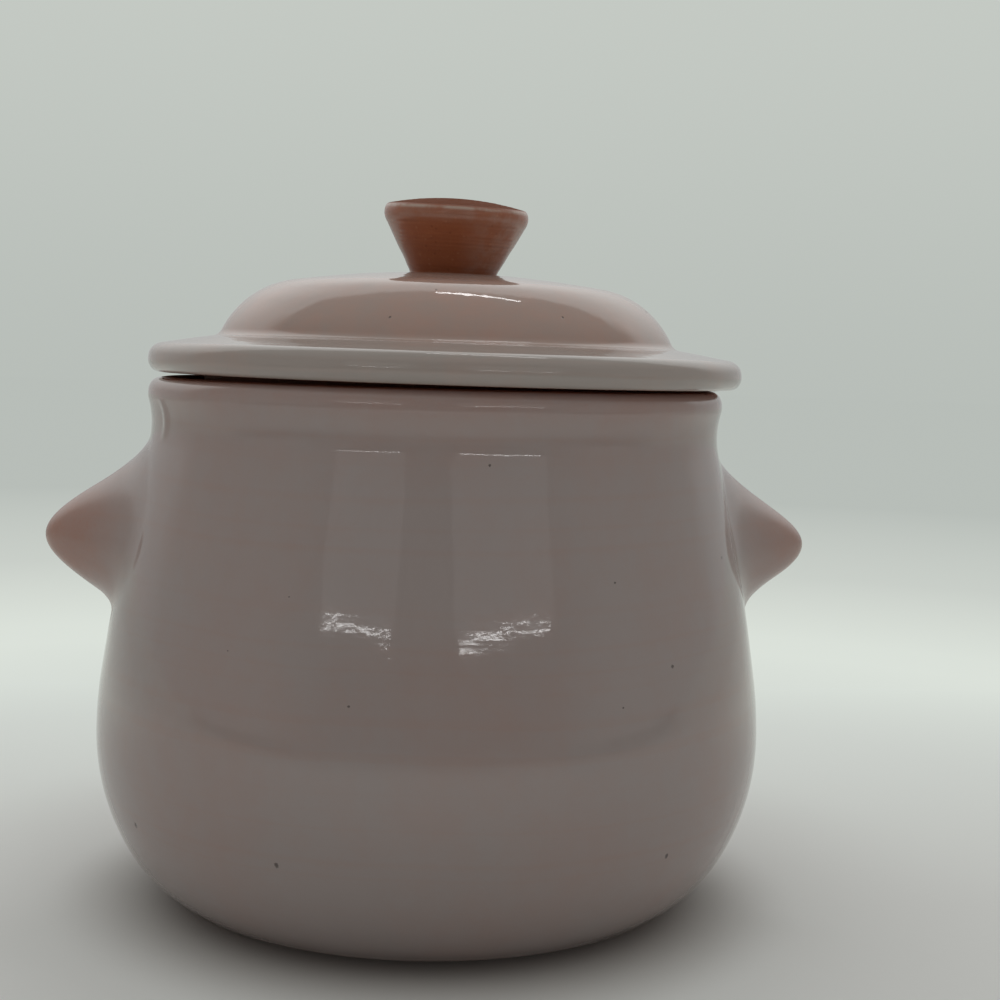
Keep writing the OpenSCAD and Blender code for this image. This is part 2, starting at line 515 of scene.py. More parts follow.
@dataclass(frozen=True)
class LidForm:
    """Sizes of the lid, its coats and its knob, in millimetres and degrees."""

    pot: PotForm
    flange_radius: float = 72.4
    flange_thickness: float = 6.6
    flange_slope: float = 9.0
    dome_radius: float = 56.9
    dome_rise: float = 25.4
    dome_shoulder: float = 21.4
    dome_crown: float = 245.0
    dome_fillet: float = 3.5
    knob_seat: float = 13.0
    wall: float = 5.5
    collar_depth: float = 8.0
    collar_thickness: float = 5.5
    collar_chamfer: float = 1.2
    hollow_bare: float = 1.2
    seat_gap: float = 0.3
    play: float = 2.7
    rest_gap: float = 0.5
    tilt: float = 0.35
    knob_base: float = 10.1
    knob_height: float = 19.3
    knob_radius: float = 17.8
    knob_edge: float = 4.0
    knob_drop: float = 4.1
    knob_offset: float = 0.8

    @cached_property
    def shift(self) -> float:
        """How far the lid has slid towards the right lug."""
        return self.play - self.rest_gap

    @cached_property
    def collar_radius(self) -> float:
        """Outer radius of the ring that drops into the mouth."""
        return self.pot.mouth_radius - self.play

    @cached_property
    def seat_z(self) -> float:
        """Height of the lid's seat at the lid's own axis."""
        lean = math.sin(math.radians(self.tilt))
        return self.pot.rim_height + self.seat_gap + (float(self.pot.bead_middle[0]) - self.shift) * lean

    @cached_property
    def edge_round(self) -> float:
        """Round of the flange's edge."""
        return self.flange_thickness / 2.0

    @cached_property
    def edge_middle(self) -> tuple[float, float]:
        """Middle of the flange's edge."""
        return self.flange_radius - self.edge_round, self.seat_z + self.edge_round

    @cached_property
    def shoulder_x(self) -> float:
        """Radius of the middle of the dome's shoulder."""
        return self.dome_radius - self.dome_shoulder

    @cached_property
    def shoulder_lean(self) -> float:
        """Lean where the shoulder hands over to the crown."""
        return math.degrees(math.asin(self.shoulder_x / (self.dome_crown - self.dome_shoulder)))

    @cached_property
    def crown_z(self) -> float:
        """Height of the middle of the crown's curve."""
        drop = self.dome_crown - math.sqrt(self.dome_crown ** 2 - self.knob_seat ** 2)
        return self.seat_z + self.dome_rise - self.dome_crown + drop

    @cached_property
    def shoulder_z(self) -> float:
        """Height of the middle of the shoulder's curve."""
        reach = self.dome_crown - self.dome_shoulder
        return self.crown_z + reach * math.cos(math.radians(self.shoulder_lean))

    @cached_property
    def fillet_angle(self) -> float:
        """Angle where the fillet hands over to the shoulder.

        Returns:
            The angle on the shoulder's curve, in degrees.
        """
        slope = math.radians(self.flange_slope)
        edge_x, edge_z = self.edge_middle
        reach = (edge_x - self.shoulder_x) * math.sin(slope) + (edge_z - self.shoulder_z) * math.cos(slope)
        reach += self.edge_round + self.dome_fillet
        return math.degrees(math.asin(reach / (self.dome_shoulder + self.dome_fillet))) - self.flange_slope

    @cached_property
    def dome_top(self) -> float:
        """Height of the flat that the knob stands on."""
        return self.seat_z + self.dome_rise

    def dome_arcs(self, start: float, end_radius: float, step: float) -> list[Arc]:
        """Arcs of the dome from an angle on the shoulder to a radius on the crown.

        Args:
            start: angle on the shoulder to start from.
            end_radius: radius on the crown to stop at.
            step: distance between points.

        Returns:
            The arcs from the shoulder inwards.
        """
        over = 90.0 - self.shoulder_lean
        last = math.degrees(math.acos(end_radius / self.dome_crown))
        return [
            Arc(self.shoulder_x, self.shoulder_z, self.dome_shoulder, start, over, step),
            Arc(0.0, self.crown_z, self.dome_crown, over, last, step),
        ]

    def top(self, start: float, end_radius: float, step: float) -> Outline:
        """The lid's top from an angle on its edge to a radius on the crown.

        Args:
            start: angle on the flange's edge to start from.
            end_radius: radius on the crown to stop at.
            step: distance between points.

        Returns:
            The outline from the edge inwards.
        """
        turn = math.radians(self.fillet_angle)
        reach = self.dome_shoulder + self.dome_fillet
        fillet_x = self.shoulder_x + reach * math.cos(turn)
        fillet_z = self.shoulder_z + reach * math.sin(turn)
        fillet_start, fillet_end = 270.0 - self.flange_slope, 180.0 + self.fillet_angle
        fine = step / 2.0
        edge = Outline.of([Arc(*self.edge_middle, self.edge_round, start, 90.0 - self.flange_slope, fine)])
        dome = Outline.of([
            Arc(fillet_x, fillet_z, self.dome_fillet, fillet_start, fillet_end, fine, Bend.HOLLOW),
            *self.dome_arcs(self.fillet_angle, end_radius, step),
        ])
        gap = dome.points[0] - edge.points[-1]
        share = np.linspace(0.0, 1.0, max(3, int(float(np.linalg.norm(gap)) / step)))[1:-1, None]
        flat = edge.points[-1] + share * gap
        level = np.repeat(edge.normals[-1:], len(flat), axis=0)
        return Outline(
            np.concatenate([edge.points, flat, dome.points]),
            np.concatenate([edge.normals, level, dome.normals]),
        )

    def on_rim(self, grid: np.ndarray) -> np.ndarray:
        """Puts points of the level lid where the lid lies on the rim.

        Args:
            grid: points of the level lid, last axis x, y, z, in millimetres.

        Returns:
            The points where the lid rests, a little lower towards the right lug.
        """
        lean = math.radians(self.tilt)
        x, z = grid[..., 0], grid[..., 2] - self.seat_z
        return np.stack([
            x * math.cos(lean) + z * math.sin(lean) + self.shift,
            grid[..., 1],
            -x * math.sin(lean) + z * math.cos(lean) + self.seat_z,
        ], axis=-1)


# Meshes

def even_turn(count: int) -> np.ndarray:
    """Angles spread evenly round the axis."""
    return np.linspace(0.0, FULL_TURN, count, endpoint=False)


def lug_turn(count: int, closer: float, width: float) -> np.ndarray:
    """Angles round the axis that lie closer together at both lugs.

    Args:
        count: how many angles.
        closer: how much closer they lie at the lugs.
        width: half width of the closer run, in radians.

    Returns:
        The angles, from 0 to just under a full turn.
    """
    fine = np.linspace(0.0, FULL_TURN, 4001)
    dense = np.ones_like(fine)
    for middle in (0.0, math.pi, FULL_TURN):
        dense += closer * swell(fine, middle, width)
    total = np.concatenate([[0.0], np.cumsum(0.5 * (dense[1:] + dense[:-1]))])
    return np.interp(np.linspace(0.0, total[-1], count, endpoint=False), total, fine)


@dataclass
class Turned:
    """A form turned on the wheel: an outline swept round the axis."""

    outline: np.ndarray
    turn: np.ndarray
    values: dict[str, np.ndarray] = field(default_factory=dict)

    @cached_property
    def angle(self) -> np.ndarray:
        """The angles from -pi to pi, as a column beside the outline's points."""
        return np.arctan2(np.sin(self.turn), np.cos(self.turn))[:, None]

    @cached_property
    def grid(self) -> np.ndarray:
        """Swept points of shape (angles, points, 3), in millimetres.

        Returns:
            The points, which are not to be changed in place.
        """
        radius, height = self.outline[:, 0], self.outline[:, 1]
        return np.stack([
            np.outer(np.cos(self.turn), radius),
            np.outer(np.sin(self.turn), radius),
            np.broadcast_to(height, (len(self.turn), len(radius))),
        ], axis=-1)

    def lifted(self, points: np.ndarray, normals: np.ndarray, rise: np.ndarray) -> np.ndarray:
        """Moves swept points along the normals of their outline.

        Args:
            points: the points, of shape (angles, n, 3), in millimetres.
            normals: radius and height of the normal at each outline point, or one for all.
            rise: how far each point moves, of shape (angles, n).

        Returns:
            The moved points.
        """
        across = rise * normals[:, 0]
        return points + np.stack([
            across * np.cos(self.angle), across * np.sin(self.angle), rise * normals[:, 1],
        ], axis=-1)

    def mesh(self, name: str, grid: np.ndarray) -> bpy.types.Mesh:
        """Builds a closed mesh from swept points.

        Args:
            name: name of the mesh.
            grid: the swept points, changed or not, in millimetres. An outline that starts and ends
                on the axis gets one point at each pole, and any other outline is joined to its start.

        Returns:
            The mesh, smooth shaded, in metres, with the form's values stored on its points.
        """
        poles = np.allclose(self.outline[[0, -1], 0], 0.0)
        body = grid[:, 1:-1] if poles else grid
        around, along = body.shape[:2]
        index = np.arange(around * along).reshape(around, along)
        last = slice(0, along - 1) if poles else slice(0, along)
        beside = np.roll(index, -1, axis=0)
        above, beside_above = np.roll(index, -1, axis=1), np.roll(beside, -1, axis=1)
        quads = np.stack([index, beside, beside_above, above], axis=-1)[:, last].reshape(-1, 4)
        points = body.reshape(-1, 3)
        faces = quads.tolist()
        if poles:
            low, high = len(points), len(points) + 1
            points = np.concatenate([points, [grid[:, 0].mean(axis=0), grid[:, -1].mean(axis=0)]])
            faces += [[low, int(b), int(a)] for a, b in zip(index[:, 0], beside[:, 0])]
            faces += [[high, int(a), int(b)] for a, b in zip(index[:, -1], beside[:, -1])]
        made = bpy.data.meshes.new(name)
        made.from_pydata((points * MM).tolist(), [], faces)
        made.polygons.foreach_set("use_smooth", np.ones(len(made.polygons), dtype=bool))
        for key, value in self.values.items():
            spread = np.broadcast_to(value, grid.shape[:2])
            flat = (spread[:, 1:-1] if poles else spread).reshape(-1)
            if poles:
                flat = np.concatenate([flat, [spread[:, 0].mean(), spread[:, -1].mean()]])
            stored = made.attributes.new(key, "FLOAT", "POINT")
            stored.data.foreach_set("value", flat.astype(np.float32))
        made.validate()
        made.update()
        return made


def put_in_scene(name: str, data: Any) -> bpy.types.Object:
    """Makes an object of a mesh, a camera or a lamp, and puts it in the scene.

    Args:
        name: name of the object.
        data: what it shows.

    Returns:
        The new object.
    """
    made = bpy.data.objects.new(name, data)
    bpy.context.scene.collection.objects.link(made)
    return made


def add_piece(
    mesh: bpy.types.Mesh, material: bpy.types.Material, body: Body, node: str,
) -> None:
    """Puts a mesh in the scene as a piece of the object.

    Args:
        mesh: the finished mesh, whose name the piece takes.
        material: its finish.
        body: the body that it moves with.
        node: the solid that it stands for.
    """
    piece = put_in_scene(mesh.name, mesh)
    mesh.materials.append(material)
    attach(piece, body.value)
    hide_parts(node)
    LOG.info("%s: %d points, rides on %s", piece.name, len(mesh.vertices), body.value)


# Node trees

class Graph:
    """Lays out the nodes of one node tree."""

    def __init__(self, tree: bpy.types.NodeTree) -> None:
        """Starts on an empty tree."""
        self.tree = tree
        tree.nodes.clear()

    def node(self, kind: str, inputs: dict[Any, Any] | None = None, **settings: Any) -> bpy.types.Node:
        """Adds a node.

        Args:
            kind: the node's type.
            inputs: a number, a colour or a socket to link, for each named or numbered input.
            settings: the node's own settings.

        Returns:
            The new node.
        """
        made = self.tree.nodes.new(kind)
        for key, value in settings.items():
            setattr(made, key, value)
        for key, value in (inputs or {}).items():
            if isinstance(value, Socket):
                self.tree.links.new(value, made.inputs[key])
            else:
                made.inputs[key].default_value = (*value, 1.0) if isinstance(value, tuple) else value
        return made

    def math(self, operation: str, *values: Any) -> Socket:
        """A Math node's result."""
        return self.node("ShaderNodeMath", dict(enumerate(values)), operation=operation).outputs[0]

    def plus(self, *values: Any) -> Socket:
        """The sum of some values."""
        return reduce(lambda a, b: self.math("ADD", a, b), values)

    def minus(self, a: Any, b: Any) -> Socket:
        """One value less another."""
        return self.math("SUBTRACT", a, b)

    def times(self, *values: Any) -> Socket:
        """The product of some values."""
        return reduce(lambda a, b: self.math("MULTIPLY", a, b), values)

    def largest(self, *values: Any) -> Socket:
        """The largest of some values."""
        return reduce(lambda a, b: self.math("MAXIMUM", a, b), values)

    def centred(self, value: Any, height: Any) -> Socket:
        """A noise value moved to lie about zero and scaled."""
        return self.times(self.minus(value, 0.5), height)

    def spread(self, value: Any, low: float, high: float, first: float, last: float) -> Socket:
        """A value taken smoothly from the range low to high to the range first to last."""
        inputs = {"Value": value, "From Min": low, "From Max": high, "To Min": first, "To Max": last}
        return self.node("ShaderNodeMapRange", inputs, interpolation_type="SMOOTHSTEP").outputs[0]

    def mix(self, share: Any, a: Any, b: Any) -> Socket:
        """Two colours mixed by a share."""
        return self.node("ShaderNodeMix", {0: share, 6: a, 7: b}, data_type="RGBA").outputs[2]

    def ramp(self, value: Any, stops: tuple[tuple[float, Colour], ...]) -> Socket:
        """A colour read off a list of places and colours.

        Args:
            value: where to read.
            stops: each place with its colour, in order.

        Returns:
            The colour socket.
        """
        made = self.node("ShaderNodeValToRGB", {0: value})
        places = made.color_ramp.elements
        for index, (place, colour) in enumerate(stops):
            stop = places[index] if index < len(places) else places.new(place)
            stop.position = place
            stop.color = (*colour, 1.0)
        return made.outputs[0]

    def noise(self, vector: Any, scale: Any, detail: float = 2.0, rough: float = 0.5) -> Socket:
        """A noise value about the middle of 0 to 1."""
        inputs = {"Vector": vector, "Scale": scale, "Detail": detail, "Roughness": rough}
        return self.node("ShaderNodeTexNoise", inputs).outputs[0]

    def bump(self, height: Socket, distance: float, under: Socket | None = None, **more: Any) -> Socket:
        """A normal bent by a height.

        Args:
            height: the height.
            distance: how high a height of 1 is, in metres.
            under: the normal to start from, if it is already bent.
            more: the strength, where it isn't 1, and invert, where the height goes in.

        Returns:
            The normal socket.
        """
        inputs = {"Height": height, "Strength": more.pop("strength", 1.0), "Distance": distance}
        if under is not None:
            inputs["Normal"] = under
        return self.node("ShaderNodeBump", inputs, **more).outputs[0]

    def place(self) -> Socket:
        """The place on the object, in metres."""
        return self.node("ShaderNodeTexCoord").outputs["Object"]

    def stored(self, name: str) -> Socket:
        """A value that the mesh stores on its points."""
        return self.node("ShaderNodeAttribute", attribute_name=name).outputs["Fac"]

    def parts(self, vector: Socket) -> Any:
        """The X, Y and Z of a vector, by name."""
        return self.node("ShaderNodeSeparateXYZ", {0: vector}).outputs

    def joined(self, x: Socket, y: Socket) -> Socket:
        """A flat vector with the given X and Y."""
        return self.node("ShaderNodeCombineXYZ", {0: x, 1: y}).outputs[0]

    def length(self, vector: Socket) -> Socket:
        """The length of a vector."""
        return self.node("ShaderNodeVectorMath", {0: vector}, operation="LENGTH").outputs["Value"]

    def put_out(self, **outputs: Socket) -> bpy.types.NodeTree:
        """Ends a group: links its outputs by name and gives the group."""
        self.node("NodeGroupOutput", outputs)
        return self.tree


class Effect(Enum):
    """Surface effects that more than one finish uses, each one a node group."""

    THROWING = "throwing_lines"
    PINHOLES = "pinholes"
    GRAIN = "clay_grain"
    FLOW = "glaze_flow"

    def placed(self, graph: Graph, inputs: dict[str, Any]) -> Any:
        """The outputs of the effect's group, placed in a material with its own inputs."""
        tree = bpy.data.node_groups.get(self.value) or EFFECT_BUILDERS[self]()
        return graph.node("ShaderNodeGroup", inputs, node_tree=tree).outputs


SOCKETS = {"value": "NodeSocketFloat", "colour": "NodeSocketColor", "vector": "NodeSocketVector"}


def new_group(effect: Effect, inputs: dict[str, str], outputs: dict[str, str]) -> tuple[Graph, Any]:
    """Starts a node group, which also takes the place on the object as Vector.

    Args:
        effect: the effect that the group makes.
        inputs: kind of socket for each other input's name.
        outputs: kind of socket for each output's name.

    Returns:
        The group's graph and its inputs by name.
    """
    tree = bpy.data.node_groups.new(effect.value, "ShaderNodeTree")
    for name, kind in {"Vector": "vector", **inputs}.items():
        tree.interface.new_socket(name=name, in_out="INPUT", socket_type=SOCKETS[kind])
    for name, kind in outputs.items():
        tree.interface.new_socket(name=name, in_out="OUTPUT", socket_type=SOCKETS[kind])
    graph = Graph(tree)
    return graph, graph.node("NodeGroupInput").outputs


def throwing_lines() -> bpy.types.NodeTree:
    """Rings that a finger leaves as the wheel turns.

    Returns:
        A group with Vector, Rings per Metre and Wander in, and Height out.
    """
    graph, given = new_group(
        Effect.THROWING, {"Rings per Metre": "value", "Wander": "value"}, {"Height": "value"})
    bend = graph.noise(given["Vector"], scale=18.0, detail=1.0)
    drift = graph.centred(bend, given["Wander"])
    level = graph.times(graph.plus(graph.parts(given["Vector"])["Z"], drift), given["Rings per Metre"])
    inputs = {"W": level, "Scale": 1.0, "Detail": 2.5, "Roughness": 0.6}
    rings = graph.node("ShaderNodeTexNoise", inputs, noise_dimensions="1D")
    return graph.put_out(Height=rings.outputs[0])


def pinholes() -> bpy.types.NodeTree:
    """Sparse pits where gas broke through the glaze.

    Returns:
        A group with Vector, Scale, Size and Share in, and Mask out.
    """
    graph, given = new_group(
        Effect.PINHOLES, {"Scale": "value", "Size": "value", "Share": "value"}, {"Mask": "value"})
    unroll_radius, unroll_start, inward_share = 0.0765, 0.413, 0.9
    part = graph.parts(given["Vector"])
    turn = graph.math("ARCTAN2", part["Y"], part["X"])
    away = graph.length(graph.joined(part["X"], part["Y"]))
    unrolled = graph.joined(
        graph.math("MULTIPLY_ADD", turn, unroll_radius, unroll_start),
        graph.minus(part["Z"], graph.times(away, inward_share)))
    inputs = {"Vector": unrolled, "Scale": given["Scale"]}
    cells = graph.node("ShaderNodeTexVoronoi", inputs, voronoi_dimensions="2D").outputs
    pick = graph.node("ShaderNodeSeparateColor", {0: cells["Color"]}).outputs
    chosen = graph.math("LESS_THAN", pick[0], given["Share"])
    reach = graph.times(given["Size"], graph.plus(0.45, pick[1]))
    ragged = graph.times(graph.noise(given["Vector"], scale=2600.0, detail=1.0), reach)
    depth = graph.minus(graph.plus(reach, ragged), cells["Distance"])
    soft = graph.spread(graph.math("DIVIDE", depth, reach), 0.15, 0.75, 0.0, 1.0)
    return graph.put_out(Mask=graph.times(soft, chosen))


def clay_grain() -> bpy.types.NodeTree:
    """Fired red clay: cloudy body, fine sand and scattered pale and dark grains.

    Returns:
        A group with Vector, Body, Pale, Dark and Grain in, and Color, Roughness and Height out.
    """
    graph, given = new_group(
        Effect.GRAIN, {"Body": "colour", "Pale": "colour", "Dark": "colour", "Grain": "value"},
        {"Color": "colour", "Roughness": "value", "Height": "value"})
    pale_from, dark_to = 0.88, 0.07
    cloud = graph.noise(given["Vector"], scale=60.0, detail=4.0, rough=0.55)
    sand = graph.noise(given["Vector"], given["Grain"], detail=3.0, rough=0.7)
    fleck = graph.node("ShaderNodeTexVoronoi", {"Vector": given["Vector"], "Scale": given["Grain"]}).outputs
    kind = graph.node("ShaderNodeSeparateColor", {0: fleck["Color"]}).outputs[0]
    near = graph.spread(fleck["Distance"], 0.12, 0.42, 1.0, 0.0)
    pale = graph.times(near, graph.math("GREATER_THAN", kind, pale_from))
    dark = graph.times(near, graph.math("LESS_THAN", kind, dark_to))
    tone = graph.mix(graph.spread(cloud, 0.3, 0.7, 0.0, 0.34), given["Body"], given["Dark"])
    tone = graph.mix(graph.spread(sand, 0.45, 0.75, 0.0, 0.28), tone, given["Pale"])
    tone = graph.mix(graph.times(pale, 0.55), tone, given["Pale"])
    tone = graph.mix(graph.times(dark, 0.6), tone, given["Dark"])
    return graph.put_out(
        Color=tone,
        Roughness=graph.spread(sand, 0.3, 0.7, -0.08, 0.08),
        Height=graph.plus(sand, graph.times(graph.minus(pale, dark), 0.35)))


def glaze_flow() -> bpy.types.NodeTree:
    """Milky glaze over red clay: cloudy where it pooled, red where it ran thin.

    Returns:
        A group with Vector, Body, Red, Thin, Dry and Cloud in, and Color, Roughness and Height out.
    """
    graph, given = new_group(
        Effect.FLOW,
        {"Body": "colour", "Red": "colour", "Thin": "value", "Dry": "value", "Cloud": "value"},
        {"Color": "colour", "Roughness": "value", "Height": "value"})
    least_red, speck_red, most_dull = 0.05, 0.09, 0.2
    vector = given["Vector"]
    wide = graph.noise(vector, scale=26.0, detail=3.0, rough=0.5)
    close = graph.noise(vector, scale=150.0, detail=3.0, rough=0.6)
    fine = graph.noise(vector, scale=1500.0, detail=2.0, rough=0.6)
    ragged = graph.plus(graph.centred(close, 0.5), graph.centred(fine, 0.35))
    edge = graph.times(given["Thin"], graph.plus(1.0, ragged))
    cloudy = graph.times(graph.spread(wide, 0.3, 0.72, -0.5, 0.5), given["Cloud"])
    mottled = graph.times(graph.spread(close, 0.3, 0.7, -0.5, 0.5), given["Cloud"], 0.5)
    specks = graph.times(graph.spread(fine, 0.58, 0.78, 0.0, 1.0), speck_red)
    red = graph.node("ShaderNodeClamp", {0: graph.plus(cloudy, mottled, specks, least_red, edge)})
    sandy = graph.times(
        graph.plus(ragged, graph.minus(fine, 0.5)), graph.spread(given["Dry"], 0.0, 0.2, 0.0, 1.0))
    dull = graph.spread(graph.plus(given["Dry"], sandy), 0.0, 1.0, 0.0, most_dull)
    peel = graph.plus(
        graph.noise(vector, scale=210.0, detail=1.5, rough=0.45),
        graph.times(graph.noise(vector, scale=70.0, detail=1.0), 2.4),
        graph.times(graph.noise(vector, scale=760.0, detail=1.0), 0.28))
    return graph.put_out(
        Color=graph.mix(red.outputs[0], given["Body"], given["Red"]), Roughness=dull, Height=peel)


EFFECT_BUILDERS = {
    Effect.THROWING: throwing_lines,
    Effect.PINHOLES: pinholes,
    Effect.GRAIN: clay_grain,
    Effect.FLOW: glaze_flow,
}


# Finishes

def new_material(name: str) -> tuple[bpy.types.Material, Graph]:
    """Starts a material.

    Args:
        name: name of the material.

    Returns:
        The material and the graph of its empty node tree.
    """
    made = bpy.data.materials.new(name)
    made.use_nodes = True
    return made, Graph(made.node_tree)


@dataclass(frozen=True)
class GlazeFinish:
    """A glossy milky glaze over red clay, with heights and depths in metres."""

    name: str
    body: Colour
    red: Colour
    gloss: float = 0.05
    ior: float = 1.52
    cloud: float = 0.09
    peel: float = 2.2e-5
    pit: Colour = (0.035, 0.02, 0.015)
    pit_tint: float = 0.75
    pit_rough: float = 0.3
    pit_share: float = 0.07
    pit_scale: float = 70.0
    pit_size: float = 0.021
    pit_depth: float = 2.0e-4
    pit_strength: float = 0.8
    ring_pitch: float = 260.0
    ring_wander: float = 0.004
    ring_height: float = 1.0e-5
    ring_red: float = 0.06

    def material(self) -> bpy.types.Material:
        """Builds the finish.

        Returns:
            The material, whose thin and dull places come from the mesh values named thin and dry.
        """
        made, graph = new_material(self.name)
        place = graph.place()
        flow = Effect.FLOW.placed(graph, {
            "Vector": place, "Body": self.body, "Red": self.red, "Thin": graph.stored("thin"),
            "Dry": graph.stored("dry"), "Cloud": self.cloud})
        pits = Effect.PINHOLES.placed(graph, {
            "Vector": place, "Scale": self.pit_scale, "Size": self.pit_size, "Share": self.pit_share})
        rings = Effect.THROWING.placed(graph, {
            "Vector": place, "Rings per Metre": self.ring_pitch, "Wander": self.ring_wander})
        lines = graph.spread(rings["Height"], 0.5, 0.72, 0.0, self.ring_red)
        colour = graph.mix(lines, flow["Color"], self.red)
        colour = graph.mix(graph.times(pits["Mask"], self.pit_tint), colour, self.pit)
        rough = graph.plus(flow["Roughness"], self.gloss, graph.times(pits["Mask"], self.pit_rough))
        bump = graph.bump(flow["Height"], self.peel)
        bump = graph.bump(rings["Height"], self.ring_height, bump)
        bump = graph.bump(pits["Mask"], self.pit_depth, bump, strength=self.pit_strength, invert=True)
        shader = graph.node("ShaderNodeBsdfPrincipled", {
            "Base Color": colour, "Roughness": rough, "IOR": self.ior, "Normal": bump})
        graph.node("ShaderNodeOutputMaterial", {"Surface": shader.outputs[0]})
        return made


@dataclass(frozen=True)
class ClayFinish:
    """Bare fired red clay, with heights in metres."""

    name: str
    body: Colour
    pale: Colour
    dark: Colour
    rough: float = 0.72
    ior: float = 1.45
    grain: float = 900.0
    grain_height: float = 6.0e-5
    ring_pitch: float = 700.0
    ring_wander: float = 0.003
    ring_height: float = 1.2e-4
    ring_shade: float = 0.3
    # Pale colour of the knob's worn edge, of the painted highlight on it and of its painted sheen.
    pale_wear_and_sheen: Colour = (0.5, 0.4, 0.34)
    pale_wear_and_sheen_share: float = 0.0
    # Painted shade on the knob's unpolished top.
    crown: Colour = (0.144, 0.04, 0.0145)
    crown_shade_share: float = 0.85
    polish_rough: float = 0.23
    specular: float = 0.15

    def material(self) -> bpy.types.Material:
        """Builds the finish.

        Returns:
            The material. Where the clay has pale wear and painted sheen, its pale places (wear with painted
            highlight and sheen), its polished places and the painted shade on its unpolished top come from
            the mesh's stored values for pale wear and sheen and for burnish.
        """
        made, graph = new_material(self.name)
        place = graph.place()
        clay = Effect.GRAIN.placed(graph, {
            "Vector": place, "Body": self.body, "Pale": self.pale, "Dark": self.dark, "Grain": self.grain})
        rings = Effect.THROWING.placed(graph, {
            "Vector": place, "Rings per Metre": self.ring_pitch, "Wander": self.ring_wander})
        shade = graph.spread(rings["Height"], 0.32, 0.7, self.ring_shade, 0.0)
        colour = graph.mix(shade, clay["Color"], self.dark)
        rubbed: dict[str, Any] = {}
        if self.pale_wear_and_sheen_share:
            patchy = graph.noise(place, scale=240.0, detail=3.0, rough=0.6)
            patchy = graph.spread(patchy, 0.32, 0.62, 0.35, 1.0)
            # Pale wear with painted highlight and painted sheen, in patches.
            wear_and_sheen = graph.times(graph.stored("pale_wear_and_sheen"), patchy, self.pale_wear_and_sheen_share)
            colour = graph.mix(wear_and_sheen, colour, self.pale_wear_and_sheen)
            polish = graph.stored("burnish")
            # Painted shade: where the knob is not polished, its top darkens towards the crown colour.
            colour = graph.mix(graph.spread(polish, 0.0, 1.0, self.crown_shade_share, 0.0), colour, self.crown)
            rubbed = {
                "Coat Weight": polish, "Coat Roughness": self.polish_rough,
                "Specular IOR Level": self.specular}
        bump = graph.bump(clay["Height"], self.grain_height)
        bump = graph.bump(rings["Height"], self.ring_height, bump)
        shader = graph.node("ShaderNodeBsdfPrincipled", {
            "Base Color": colour, "Roughness": graph.plus(clay["Roughness"], self.rough), "IOR": self.ior,
            "Normal": bump, **rubbed})
        graph.node("ShaderNodeOutputMaterial", {"Surface": shader.outputs[0]})
        return made


@dataclass
class Finishes:
    """The five finishes of the object."""

    outer: bpy.types.Material
    lid: bpy.types.Material
    inner: bpy.types.Material
    clay: bpy.types.Material
    knob: bpy.types.Material

    @staticmethod
    def mixed() -> "Finishes":
        """Builds all the finishes.

        Returns:
            The finishes, ready to use.
        """
        red = (0.36, 0.155, 0.1)
        outer = GlazeFinish("outer_glaze", body=(0.312, 0.262, 0.25), red=red, cloud=0.13)
        lid = GlazeFinish(
            "lid_glaze", body=(0.328, 0.286, 0.262), red=(0.52, 0.26, 0.19), cloud=0.2, peel=4.2e-5)
        inner = GlazeFinish("inner_glaze", body=(0.4, 0.34, 0.32), red=red, ring_height=4.0e-5)
        clay = ClayFinish(
            "bare_clay", body=(0.27, 0.095, 0.05), pale=(0.42, 0.2, 0.12), dark=(0.15, 0.045, 0.025))
        knob = ClayFinish(
            "knob_clay", body=(0.305, 0.08, 0.026), pale=(0.38, 0.13, 0.055), dark=(0.2, 0.048, 0.015),
            rough=0.85, grain_height=2.0e-5, ring_pitch=900.0, ring_height=4.0e-5, ring_shade=0.16,
            pale_wear_and_sheen_share=0.75)
        return Finishes(*(finish.material() for finish in (outer, lid, inner, clay, knob)))


# Sub-assemblies

